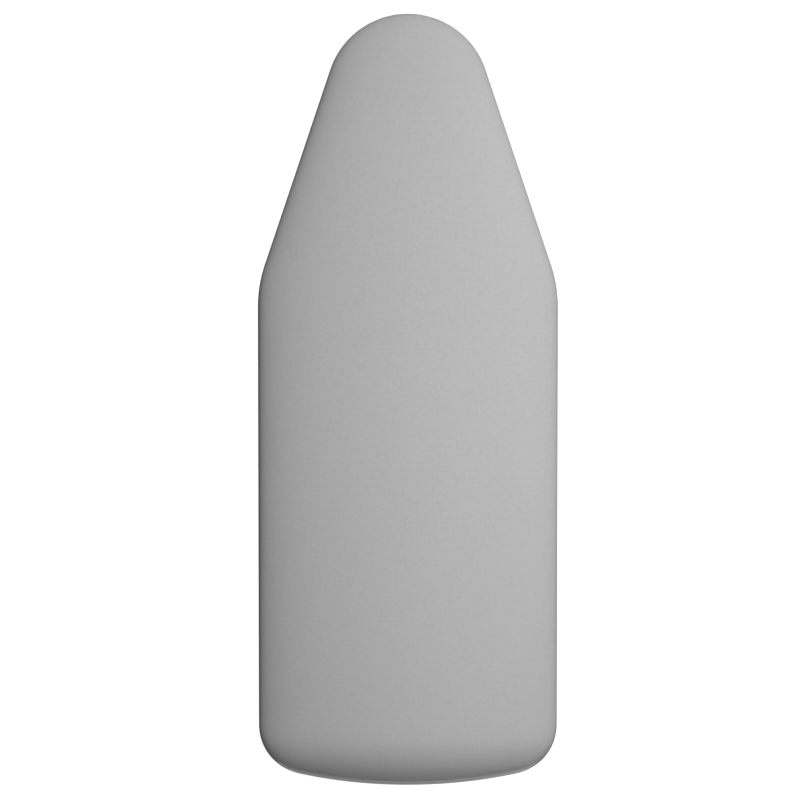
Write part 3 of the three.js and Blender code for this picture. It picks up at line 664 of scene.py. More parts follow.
def outline_half(step=OUTLINE_STEP):
    """Points and outward normals of the right half, from the nose tip to the rear's middle."""
    nose = np.array([0, BOARD_LENGTH / 2 - NOSE_RADIUS])
    taper = np.array([math.cos(TAPER), math.sin(TAPER)])
    shoulder_x = BOARD_WIDTH / 2 - SHOULDER_RADIUS
    support = nose @ taper + NOSE_RADIUS - SHOULDER_RADIUS
    shoulder = np.array([shoulder_x, (support - shoulder_x * taper[0]) / taper[1]])
    normal = np.array([math.cos(SIDE_LEAN), -math.sin(SIDE_LEAN)])
    along = np.array([-math.sin(SIDE_LEAN), -math.cos(SIDE_LEAN)])
    end = np.array([0, END_RADIUS - BOARD_LENGTH / 2])
    start = normal * (shoulder @ normal + SHOULDER_RADIUS - CORNER_RADIUS)
    offset = start - end
    half = offset @ along
    corner = start + along * (
        math.sqrt(half ** 2 - offset @ offset + (END_RADIUS - CORNER_RADIUS) ** 2) - half)
    last = math.atan2(corner[1] - end[1], corner[0] - end[0])
    arcs = ((nose, NOSE_RADIUS, math.pi / 2, TAPER), (shoulder, SHOULDER_RADIUS, TAPER, -SIDE_LEAN),
            (corner, CORNER_RADIUS, -SIDE_LEAN, last), (end, END_RADIUS, last, -math.pi / 2))
    points, normals = [], []
    for centre, radius, first, final in arcs:
        angles = np.linspace(first, final, math.ceil(radius * abs(final - first) / step) + 1)
        outward = np.stack([np.cos(angles), np.sin(angles)], 1)
        arc = centre + radius * outward
        if points:
            span = arc[0] - points[-1]
            count = int(np.linalg.norm(span) / step)
            for k in range(1, count):
                points.append(points[-1] + span / count)
                normals.append(outward[0])
            if not count:
                arc, outward = arc[1:], outward[1:]
        points += list(arc)
        normals += list(outward)
    points, normals = np.array(points), np.array(normals)
    points[[0, -1], 0] = 0
    return points, normals


def whole_outline(step=OUTLINE_STEP):
    points, normals = outline_half(step)
    mirror = (-1, 1)
    return (np.concatenate([points, points[-2:0:-1] * mirror]),
            np.concatenate([normals, normals[-2:0:-1] * mirror]))


def rear_drop(y):
    """How far the rear end has curved down at each Y."""
    past = np.clip(ROLL_LENGTH - BOARD_LENGTH / 2 - y, 0, ROLL_RADIUS)
    return ROLL_RADIUS - np.sqrt(ROLL_RADIUS ** 2 - past ** 2)


def crown(inset):
    """Height of the cover's face over a point this far inside the outline."""
    rise = TOP + settings().cover.crown / MM - RIM_Z
    u = 1 - np.clip(inset / CROWN_WIDTH, 0, 1)
    return RIM_Z + rise * (1 - u ** 3) ** (1 / 2.2)


def lengths_along(points):
    """Distance travelled round a closed line at each of its points, and all round."""
    steps = np.linalg.norm(np.roll(points, -1, 0) - points, axis=1)
    return np.concatenate([[0], np.cumsum(steps)[:-1]]), steps.sum()


def gather(points, normals):
    """Depth of the hem's gathers at each outline point: closest together and deepest round the
    nose and the corners, where the cut edge has the most to spare."""
    travelled, total = lengths_along(points)
    bend = np.linalg.norm(np.roll(normals, -1, 0) - np.roll(normals, 1, 0), axis=1)
    spare = np.convolve(np.tile(np.minimum(bend * 12, 1), 3), np.ones(15) / 15, "same")
    spare = spare[len(points):2 * len(points)]
    ripple = np.zeros(len(points))
    for length, share, phase in ((21, 0.45, 0.3), (33, 0.33, 1.9), (57, 0.22, 4.4)):
        turns = round(total / length)
        ripple += share * np.sin(TAU * turns * travelled / total + phase)
    return settings().cover.gathers / MM * (0.45 + 0.55 * spare) * (0.5 + 0.5 * ripple)


def carried(profile, points, normals, drop=None):
    """Carries (inset, z) pairs along outline points: an array by point and by pair. `drop`
    lowers each of them."""
    profile = np.asarray(profile, float)
    flat = points[:, None] - normals[:, None] * profile[None, :, :1]
    z = profile[None, :, 1] - rear_drop(flat[:, :, 1])
    if drop is not None:
        z = z - drop
    return np.concatenate([flat, z[:, :, None]], 2)


def ladder(grid, columns, height):
    """Fills the inside of a grid's first ring with rungs between matching left and right
    points. `height` gives z from (x, y). Returns the new points and all their faces."""
    total, width = grid.shape[0], grid.shape[1]
    half = total // 2 + 1
    ring = grid[:, 0]
    start, extra, faces = total * width, [], []

    def index(row, column):
        if row in (0, half - 1) or column == 0:
            return row * width
        if column == columns:
            return (total - row) * width
        return start + (row - 1) * (columns - 1) + column - 1

    for row in range(1, half - 1):
        x = ring[row, 0] * (1 - 2 * np.arange(1, columns) / columns)
        extra.append(np.stack([x, np.full(columns - 1, ring[row, 1]), x * 0], 1))
    for row in range(half - 1):
        for column in range(columns):
            corners = [index(row, column), index(row, column + 1), index(row + 1, column + 1),
                       index(row + 1, column)]
            faces.append(list(dict.fromkeys(corners)))
    extra = np.concatenate(extra)
    extra[:, 2] = height(extra[:, :2])
    return extra, [face for face in faces if len(face) > 2]


def inset_of(places, points):
    """Distance of flat places from the outline."""
    return np.array([np.sqrt(((points - place) ** 2).sum(1).min()) for place in places])


def grid_faces(rows, columns):
    """Quads of a grid whose rows go round in a loop."""
    faces = []
    for row in range(rows):
        a, b = row * columns, (row + 1) % rows * columns
        faces += [[a + i, a + i + 1, b + i + 1, b + i] for i in range(columns - 1)]
    return faces


def point_normals(points, faces):
    """Mean outward direction at each point, faces weighted by area."""
    normals = np.zeros_like(points)
    for count in (3, 4):
        some = np.array([face for face in faces if len(face) == count])
        if len(some):
            cross = np.cross(points[some[:, 2]] - points[some[:, 0]],
                             points[some[:, -1]] - points[some[:, 1]])
            for corner in range(count):
                np.add.at(normals, some[:, corner], cross)
    return normals / (np.linalg.norm(normals, axis=1)[:, None] + 1e-12)


def shell(grid, thickness, columns, height):
    """A closed sheet of even thickness under an outer skin: a ladder inside a grid's first
    ring, and the grid's last column as its free edge."""
    total, width = grid.shape[0], grid.shape[1]
    extra, faces = ladder(grid, columns, height)
    points = np.concatenate([grid.reshape(-1, 3), extra])
    faces += [face[::-1] for face in grid_faces(total, width)]
    inner = points - point_normals(points, faces) * thickness
    count = len(points)
    under = [[count + i for i in reversed(face)] for face in faces]
    last = [row * width + width - 1 for row in range(total)]
    edge = [[a, b, count + b, count + a] for a, b in zip(last, last[1:] + last[:1])]
    return np.concatenate([points, inner]), faces + under + edge


# ------------------------------------------------------------------ the padded top


def hem_profile():
    """The cover from the level ring outwards: crown, turn under the rim, lip, and a casing
    folded over the elastic. (inset, z) pairs, and how much each moves with the gathers."""
    insets = RING_REACH * np.linspace(1, 0, 26) ** 2
    line = [(inset, float(crown(inset))) for inset in insets]
    turn = np.linspace(0, math.pi / 2, 9)[1:]
    line += [(RIM_INSET * (1 - math.cos(t)), RIM_Z - RIM_INSET * math.sin(t)) for t in turn]
    lip = RIM_Z - RIM_INSET
    casing = np.array([HEM_REACH, lip + CASING - HEM_DROP + 0.2])
    line += [(inset, lip) for inset in np.linspace(RIM_INSET, HEM_REACH - 2, 8)[1:]]
    line += [tuple(casing + CASING * np.array([math.cos(t), math.sin(t)]))
             for t in np.linspace(-math.pi / 2, math.pi * 0.86, 14)]
    line += [(HEM_REACH - 5, lip + 2.3), (HEM_REACH - 8, lip + 2.1)]
    line = np.array(line)
    start = len(insets) + len(turn) - 3
    share = np.clip((np.arange(len(line)) - start) / 10, 0, 1)
    return line, share * share * (3 - 2 * share), casing


class BOARD_OT_cover(bpy.types.Operator):
    """The stretched woven cover, with its gathered hem, elastic and stitching"""

    bl_idname = "board.cover"
    bl_label = "Cover"

    def execute(self, context):
        own = settings().cover
        points, normals = whole_outline()
        depth = gather(points, normals)
        profile, share, casing = hem_profile()
        grid = carried(profile, points, normals, depth[:, None] * share[None, :])
        skin = shell(grid, CLOTH, own.columns,
                     lambda flat: crown(inset_of(flat, points)) - rear_drop(flat[:, 1]))
        cover = new_piece("woven_cover", skin, "cotton", "board_top", "cover_fabric", "cover",
                          crease=70)
        line = carried([casing], points, normals, depth[:, None])[:, 0]
        elastic = new_piece("elastic_cord", swept(line, circle(ELASTIC, 12), closed=True), "braid",
                            "board_top", "hem_elastic", "hem_elastic")
        stitches = self.stitches(points, depth)
        return {"FINISHED"}

    def stitches(self, points, depth):
        """Lockstitches round the hem, one about every 4 mm, just outside the casing."""
        fine, fine_normals = whole_outline(4)
        travelled, total = lengths_along(points)
        own, _ = lengths_along(fine)
        depth = np.interp(own, travelled, depth)
        inset, level = HEM_REACH - 5.5, RIM_Z - RIM_INSET - 0.15
        line = carried([(inset, level)], fine, fine_normals, depth[:, None])[:, 0]
        thread, dip, section = 0.28, 0.25, 6
        shapes = []
        for a, b in zip(line, np.roll(line, -1, 0)):
            along = b - a
            reach = [a + along * t + np.array([0, 0, dip * abs(2 * t - 1) ** 3])
                     for t in np.linspace(0.12, 0.88, 5)]
            shapes.append(swept(reach, circle(thread, section)))
        return new_piece("hem_stitching", merged(*shapes), "thread", "board_top", "cover_fabric")


class BOARD_OT_pad(bpy.types.Operator):
    """The felt underlay between the cover and the steel top"""

    bl_idname = "board.pad"
    bl_label = "Underlay"

    def execute(self, context):
        points, normals = whole_outline()
        under_cover, edge = CLOTH + 0.3, 17
        insets = RING_REACH - (RING_REACH - edge) * np.linspace(0, 1, 14) ** 0.8
        face = [(inset, float(crown(inset)) - under_cover) for inset in insets]
        thick = face[-1][1] - PAD_LOW
        turn = np.linspace(math.pi / 2, -math.pi / 2, 8)[1:]
        nose = [(edge - 3 * math.cos(t), PAD_LOW + thick / 2 * (1 + math.sin(t))) for t in turn]
        back = [(inset, PAD_LOW) for inset in insets[::-1][1:]]
        grid = carried(face + nose + back, points, normals)
        count, width = grid.shape[:2]
        top, faces = ladder(grid, 24, lambda flat: (
            crown(inset_of(flat, points)) - under_cover - rear_drop(flat[:, 1])))
        low = top.copy()
        low[:, 2] = PAD_LOW - rear_drop(low[:, 1])
        start = grid.size // 3
        body = np.concatenate([grid.reshape(-1, 3), top, low])

        def lowered(i):
            return i + len(top) if i >= start else i + width - 1

        faces += [[lowered(i) for i in face[::-1]] for face in faces]
        faces += [face[::-1] for face in grid_faces(count, width)]
        pad = new_piece("underlay_felt", (body, faces), "felt", "board_top", "pad_felt",
                        "underlay_pad", crease=60)
        return {"FINISHED"}


class BOARD_OT_top_sheet(bpy.types.Operator):
    """The steel top, punched with rows of steam holes"""

    bl_idname = "board.top_sheet"
    bl_label = "Steel top"

    def execute(self, context):
        own = settings().top
        hole, pitch = own.hole / MM, own.pitch / MM
        points, normals = whole_outline()
        edge_inset, margin, reach, holes = 11.5, 26, 20, []
        row_pitch = pitch * math.sqrt(3) / 2
        rails = [middle(node)[1] for node in RAILS]
        clear = size(RAILS[0])[1] / 2 + hole / 2
        rows = int(BOARD_LENGTH / 2 / row_pitch)
        for row in range(-rows, rows + 1):
            y = row * row_pitch
            if min(abs(y - rail) for rail in rails) < clear:
                continue
            for column in range(-reach, reach + 1):
                place = np.array([(column + 0.5 * (row % 2)) * pitch, y])
                near = np.argmin(((points - place) ** 2).sum(1))
                if (points[near] - place) @ normals[near] > margin + hole / 2:
                    holes.append(circle(hole / 2, 10, place))
        shape, faces = prism(points - normals * edge_inset, SHEET_GAUGE, 0.12, holes, plane="XY")
        shape[:, 2] += SHEET_HIGH - SHEET_GAUGE / 2 - rear_drop(shape[:, 1])
        new_piece("perforated_top", (shape, faces), "sheet", "board_top", "sheet_steel",
                  "top_sheet")
        return {"FINISHED"}


class BOARD_OT_rim(bpy.types.Operator):
    """The bent tubes round the steel top, and the pressed rails across them"""

    bl_idname = "board.rim"
    bl_label = "Rim and rails"

    def execute(self, context):
        points, normals = whole_outline()
        half = len(points) // 2
        joint_y = box("rim_front")[0][1]
        order = np.concatenate([np.arange(half, len(points)), np.arange(0, half)])
        path = carried([(RIM_INSET, RIM_Z)], points, normals)[:, 0]
        front = path[order][path[order][:, 1] > joint_y]
        rear = path[path[:, 1] < joint_y - GAP]
        for name, line, end_y in (("rim_front", front, joint_y),
                                  ("rim_rear", rear, joint_y - GAP)):
            line[[0, -1], 1] = end_y
            new_piece(f"{name}_tube", self.tube(line), "frame_enamel", "board_top",
                      "frame_enamel", name)
        for node in RAILS:
            new_piece(f"{node}_pressed", self.rail(node), "frame_enamel", "board_top",
                      "frame_enamel", node)
        return {"FINISHED"}

    def tube(self, line):
        rows, sides = len(line), 28
        outer = swept(line, circle(RIM_RADIUS, sides))
        inner = swept(line, circle(RIM_RADIUS - RIM_WALL, sides))
        shape, faces = merged((outer[0], outer[1][:-2]), (inner[0], inner[1][:-2]))
        for row in (0, rows - 1):
            a, b = row * sides, (rows + row) * sides
            faces += [[a + i, a + (i + 1) % sides, b + (i + 1) % sides, b + i]
                      for i in range(sides)]
        return shape, faces

    def rail(self, node):
        low, high = box(node)
        wide, deep = (high - low)[1] / 2, (high - low)[2]
        wall, at = 1.5, (low + high) / 2
        outer = [(-wide, deep), (-wide, 0), (wide, 0), (wide, deep)]
        inner = [(wide - wall, deep), (wide - wall, wall), (wall - wide, wall),
                 (wall - wide, deep)]
        section = np.concatenate([softened(outer, 3.5, 5, closed=False),
                                  softened(inner, 2, 5, closed=False)])
        channel = prism(section, high[0] - low[0], 0.15)
        weld = along_z(lathed([(0.1, 0), (0.1, 3.4), (-0.15, 3.2), (-0.35, 2.2), (-0.35, 0)], 20))
        spots = [placed(weld, (side * (high[0] - 15), 0, 0)) for side in (-1, 1)]
        return placed(merged(channel, *spots), (0, at[1], low[2]))


# ------------------------------------------------------------------ fasteners and fittings


def bolt_shape(start, end):
    """A pan-head bolt along X with its head past `end`, and a hexagon lock nut before `start`."""
    shank, head, head_length, nut, nut_length = BOLT, 7, 5, 7.5, 6.5
    dome = [(end, shank), (end, head), (end + head_length * 0.45, head),
            (end + head_length * 0.8, head * 0.82), (end + head_length, head * 0.45),
            (end + head_length * 0.55, head * 0.38), (end + head_length * 0.5, 0)]
    stem = [(start - nut_length, 0), (start - nut_length + 0.6, shank - 0.6),
            (start - nut_length + 1.2, shank)]
    body = lathed([(start - nut_length, 0)] + stem[1:] + dome)
    flats = circle(nut, 6)
    hexagon = prism(flats, nut_length * 0.72, 0.5)
    at = start - nut_length * 0.36 - 0.01
    collar = lathed([(start - nut_length + 0.3, shank), (start - nut_length + 0.3, nut * 0.7),
                     (start - nut_length + 1, nut * 0.82), (start - nut_length * 0.7, nut * 0.84),
                     (start - nut_length * 0.7, shank)])
    return merged(body, placed(hexagon, (at, 0, 0)), collar)


def clevis_shape(inner_half, wall, half_width, height):
    """A folded bracket over an eye, and the cutter that rounds the ends of its two ears."""
    reach = inner_half + wall
    half = [(-reach, -half_width), (-reach, height)]
    inner = [(-inner_half, height - wall), (-inner_half, -half_width)]
    section = half + [(-x, z) for x, z in half[::-1] + inner[::-1]] + inner
    channel = prism(softened(section, 2, 4), 2 * half_width, 0.35, plane="XZ")
    below = half_width + 2
    arc = [(half_width * math.cos(t), half_width * math.sin(t))
           for t in np.linspace(math.pi, TAU, 21)]
    around = [(-below, 0)] + arc + [(below, 0), (below, -below), (-below, -below)]
    return channel, prism(around, 2 * reach + 4, 0)


class BOARD_OT_rear_hinge(bpy.types.Operator):
    """The two brackets under the rear end and the bolts that the outer legs swing on"""

    bl_idname = "board.rear_hinge"
    bl_label = "Rear hinge"

    def execute(self, context):
        for side, flip in (("left", True), ("right", False)):
            bracket, pin = f"pivot_bracket_{side}", f"pivot_bolt_{side}"
            span, at = size(bracket), middle(bracket)
            place = (at[0], *HINGE[1:])
            wall = 2.5
            channel, rounding = clevis_shape(span[0] / 2 - wall, wall, span[1] / 2,
                                             box(bracket)[1][2] - HINGE[2])
            bolt = placed(bolt_shape(-span[0] / 2 - GAP, span[0] / 2 + GAP), flip=flip)
            new_piece(f"{bracket}_folded", channel, "frame_enamel", "board_top", "frame_enamel",
                      bracket, bores=(rounding, bore(BOLT + GAP)), place=shifted(place))
            new_piece(f"{pin}_set", placed(bolt, place), "zinc", "board_top", "zinc_steel", pin)
        return {"FINISHED"}


# ------------------------------------------------------------------ leg frames

LEG_FRAMES = (("outer_leg", HINGE, BOLT + GAP), ("inner_leg", SLIDE, AXLE + GAP))


class BOARD_OT_leg_frames(bpy.types.Operator):
    """Both leg frames: tubes, foot bars, welds, rubber feet and end plugs"""

    bl_idname = "board.leg_frames"
    bl_label = "Leg frames"

    def execute(self, context):
        for body, hinge, eye in LEG_FRAMES:
            bar = middle(f"{body}_foot_bar")
            along = np.array([0, bar[1] - hinge[1], bar[2] - hinge[2]])
            along /= np.linalg.norm(along)
            for side in ("left", "right"):
                x = middle(f"{body}_tube_{side}")[0]
                start = np.array([x, *hinge[1:]]) - along * EYE_LENGTH
                end = np.array([x, *bar[1:]])
                new_piece(f"{body}_tube_{side}_welded",
                          hollow_tube(start, end, TUBE, TUBE_WALL, mouth=TUBE + 0.1),
                          "leg_enamel", body, "leg_enamel", f"{body}_tube_{side}",
                          bores=(bore(eye, (x, *hinge[1:])),
                                 bore(BOLT + GAP, (x, *CROSSING[1:]))),
                          also=weld_bead(end, along, TUBE, TUBE))
                plug = self.plug(start, along)
                new_piece(f"{body}_plug_{side}_domed", plug, "plastic", body,
                          "moulded_plastic", f"{body}_plug_{side}")
                new_piece(f"{body}_foot_{side}_ribbed",
                          self.foot(f"{body}_foot_{side}", bar), "rubber", body,
                          "foot_rubber", f"{body}_foot_{side}")
            reach = size(f"{body}_foot_bar")[0] / 2
            new_piece(f"{body}_foot_bar_tube",
                      hollow_tube((-reach, *bar[1:]), (reach, *bar[1:]), TUBE, TUBE_WALL),
                      "leg_enamel", body, "leg_enamel", f"{body}_foot_bar")
        return {"FINISHED"}

    def plug(self, start, along):
        """A push-in cap with a domed flange and a ribbed spigot."""
        spigot = TUBE - TUBE_WALL - 0.3
        profile = [(-3.4, 0), (-3.3, 5), (-2.8, 8.4), (-1.9, 10.4), (-1.2, TUBE), (-0.3, TUBE),
                   (-0.3, spigot), (2, spigot), (2.6, spigot - 0.5), (3.2, spigot),
                   (5.2, spigot), (5.8, spigot - 0.5), (6.4, spigot), (7.4, spigot),
                   (8, spigot - 0.8), (8, 0)]
        points, faces = lathed(profile)
        up = np.cross(along, (1, 0, 0))
        turned = (np.outer(points[:, 0], along) + np.outer(points[:, 1], (1, 0, 0))
                  + np.outer(points[:, 2], up))
        return turned + start, faces

    def foot(self, node, bar):
        """A rubber cup on the end of a foot bar, ribbed round and flat where it stands."""
        low, high = box(node)
        length, radius, bore_radius = high[0] - low[0], 16, TUBE + 0.3
        floor = bar[2] - low[2]
        profile = [(0, bore_radius), (0, radius - 1.2), (0.4, radius - 0.4), (1.2, radius)]
        for groove in (8, 13, 18):
            profile += [(groove - 1.3, radius), (groove - 0.9, radius - 0.9),
                        (groove + 0.9, radius - 0.9), (groove + 1.3, radius)]
        profile += [(length - 4 + 4 * math.sin(t), radius - 4 + 4 * math.cos(t))
                    for t in np.linspace(0, math.pi / 2, 7)]
        profile += [(length, 0)]
        points, faces = lathed([(32, 0), (32, bore_radius)] + profile, 48)
        points[:, 2] = np.maximum(points[:, 2], -floor)
        flip = middle(node)[0] < 0
        return placed((points, faces), (high[0] if flip else low[0], *bar[1:]), flip=flip)


class BOARD_OT_crossing(bpy.types.Operator):
    """Bolts, spacers, brace and axle that tie the leg frames together"""

    bl_idname = "board.crossing"
    bl_label = "Crossing, brace and axle"

    def execute(self, context):
        for side, flip in (("left", True), ("right", False)):
            pin, ring = f"crossing_bolt_{side}", f"crossing_spacer_{side}"
            outer_x = abs(middle(f"outer_leg_tube_{side}")[0])
            inner_x = abs(middle(f"inner_leg_tube_{side}")[0])
            bolt = bolt_shape(inner_x - TUBE - GAP, outer_x + TUBE + GAP)
            new_piece(f"{pin}_set", placed(bolt, CROSSING, flip=flip), "zinc", "outer_leg",
                      "zinc_steel", pin)
            half = size(ring)[0] / 2
            flange, waist = 12, 10.6
            spool = lathed(both_ways([
                (half - 3, waist), (half - 2.2, flange), (half - 0.8, flange),
                (half, flange - 0.6), (half, BOLT + 0.35)]))
            new_piece(f"{ring}_flanged", placed(spool, (middle(ring)[0], *CROSSING[1:])),
                      "plastic", "outer_leg", "moulded_plastic", ring)
        self.brace()
        self.axle()
        return {"FINISHED"}

    def brace(self):
        at, radius = middle("inner_leg_brace"), size("inner_leg_brace")[1] / 2
        reach = abs(middle("inner_leg_tube_left")[0])
        along = np.array([0, SLIDE[1] - at[1], SLIDE[2] - at[2]])
        along /= np.linalg.norm(along)
        across = np.cross(along, (1, 0, 0))
        sides, wall = settings().legs.sides, TUBE_WALL
        angles = np.arange(sides) * TAU / sides
        rings = []
        for r in (radius, radius - wall):
            out = r * np.sin(angles)
            fit = reach - np.sqrt((TUBE + 0.15) ** 2 - out ** 2)
            for side in (-1, 1):
                rings.append(at + np.outer(side * fit, (1, 0, 0))
                             + np.outer(r * np.cos(angles), along) + np.outer(out, across))
        loop = [rings[0], rings[1], rings[3], rings[2]]
        tube = np.concatenate(loop), bridged(loop, True)
        beads = []
        around = np.arange(72) * TAU / 72
        for side in (-1, 1):
            out = (radius + 0.4) * np.sin(around)
            fit = reach - np.sqrt((TUBE + 0.4) ** 2 - out ** 2)
            path = (at + np.outer(side * fit, (1, 0, 0)) + np.outer(out, across)
                    + np.outer((radius + 0.4) * np.cos(around), along))
            section = np.array([circle(1.4 * (1 + 0.16 * math.sin(20 * t)), 8) for t in around])
            beads.append(swept(path, section, closed=True))
        new_piece("inner_leg_brace_welded", merged(tube, *beads), "leg_enamel", "inner_leg",
                  "leg_enamel", "inner_leg_brace")

    def axle(self):
        end = size("cross_axle")[0] / 2
        face, cap = end - 3, 8
        half = [(face, AXLE), (face, cap - 0.4), (face + 0.4, cap), (end - 1.4, cap),
                (end - 0.5, cap - 1), (end, cap - 2.6), (end, 0)]
        new_piece("cross_axle_capped", placed(lathed(both_ways(half)), SLIDE), "zinc",
                  "inner_leg", "zinc_steel", "cross_axle")


# ------------------------------------------------------------------ guide rods and sliders


class BOARD_OT_guide_rods(bpy.types.Operator):
    """The two rods under the top, the angles that hang them and the blocks that slide on them"""

    bl_idname = "board.guide_rods"
    bl_label = "Guide rods and sliders"

    def execute(self, context):
        for side in ("left", "right"):
            rod = f"guide_rod_{side}"
            low, high = box(rod)
            radius, half = (high - low)[2] / 2, (high - low)[1] / 2
            end = [(half - 1, radius), (half, radius - 1), (half, 0)]
            new_piece(f"{rod}_drawn", placed(along_y(lathed(both_ways(end))), middle(rod)), "zinc",
                      "board_top", "zinc_steel", rod)
            for end in ("rear", "front"):
                self.hanger(f"rod_hanger_{end}_{side}", middle(rod)[2])
            self.slider(f"slider_{side}", middle(rod)[2])
        return {"FINISHED"}

    def hanger(self, node, rod_z):
        """An angle of 4 mm plate: a rounded tongue round the rod and a flange on the rail."""
        low, high = box(node)
        wide, at = (high - low)[0] / 2, middle(node)
        plate, foot = 4, 2.5
        bottom = low[2] - rod_z
        top = high[2] - rod_z
        tongue = np.array([(-wide, top - foot)]
                          + [(wide * math.cos(t), (bottom + wide) + wide * math.sin(t))
                             for t in np.linspace(math.pi, TAU, 15)] + [(wide, top - foot)])
        tongue[:, 1] = np.maximum(tongue[:, 1], bottom)
        face = placed(prism(softened(tongue, 1.5, 2), plate, 0.3, plane="XZ"),
                      (0, high[1] - plate / 2, 0))
        flange = prism(softened([(-wide, low[1]), (wide, low[1]), (wide, high[1]),
                                 (-wide, high[1])], 1.6, 3), foot, 0.3, plane="XY")
        rivet = [(-1.6, 0), (-1.5, 1.8), (-0.9, 3.2), (0, 3.8), (0, 0)]
        head = placed(along_z(lathed(rivet, 24)),
                      (0, (low[1] + high[1] - plate) / 2, top - foot))
        new_piece(f"{node}_bent", face, "frame_enamel", "board_top", "frame_enamel", node,
                  bores=[bore(ROD + GAP, (0, high[1], 0), lengthwise=True)],
                  also=merged(placed(flange, (0, 0, top - foot / 2)), head),
                  place=shifted((at[0], 0, rod_z)))

    def slider(self, node, rod_z):
        """A moulded block: rod through its upper half, axle below, and an ear for the pin."""
        low, high = box(node)
        length, lug_drop, lug_rise, floor_web, roof_web = 52, 8, 6, 3, 17
        front, back = high[1] - SLIDE[1], -length / 2
        tip = low[1] - SLIDE[1]
        floor, roof = low[2] - SLIDE[2], high[2] - SLIDE[2]
        pin = LEVER[1:] - SLIDE[1:]
        lug_low, lug_high = pin[1] - lug_drop, pin[1] + lug_rise
        outline = softened([(front, floor), (front, roof), (back, roof), (back, lug_high),
                            (tip, lug_high), (tip, lug_low), (back, lug_low), (back, floor)],
                           3, 4)
        width = (high - low)[0]
        block = prism(outline, width, 0.9)
        pockets = []
        for y0, y1 in ((-19, -9), (9, 19)):
            for side in (-1, 1):
                pocket = softened([(y0, floor + floor_web), (y1, floor + floor_web),
                                   (y1, roof - roof_web), (y0, roof - roof_web)], 2, 3)
                pockets.append(placed(prism(pocket, 5, 0.2), (side * width / 2, 0, 0)))
        cuts = (bore(ROD + GAP, (0, 0, rod_z - SLIDE[2]), lengthwise=True, reach=90),
                bore(AXLE + GAP), bore(LEVER_PIN + GAP, (0, *pin)), *pockets)
        new_piece(f"{node}_moulded", block, "plastic", "runner", "moulded_plastic", node,
                  bores=cuts, place=shifted((middle(node)[0], *SLIDE[1:])))


# ------------------------------------------------------------------ height lock


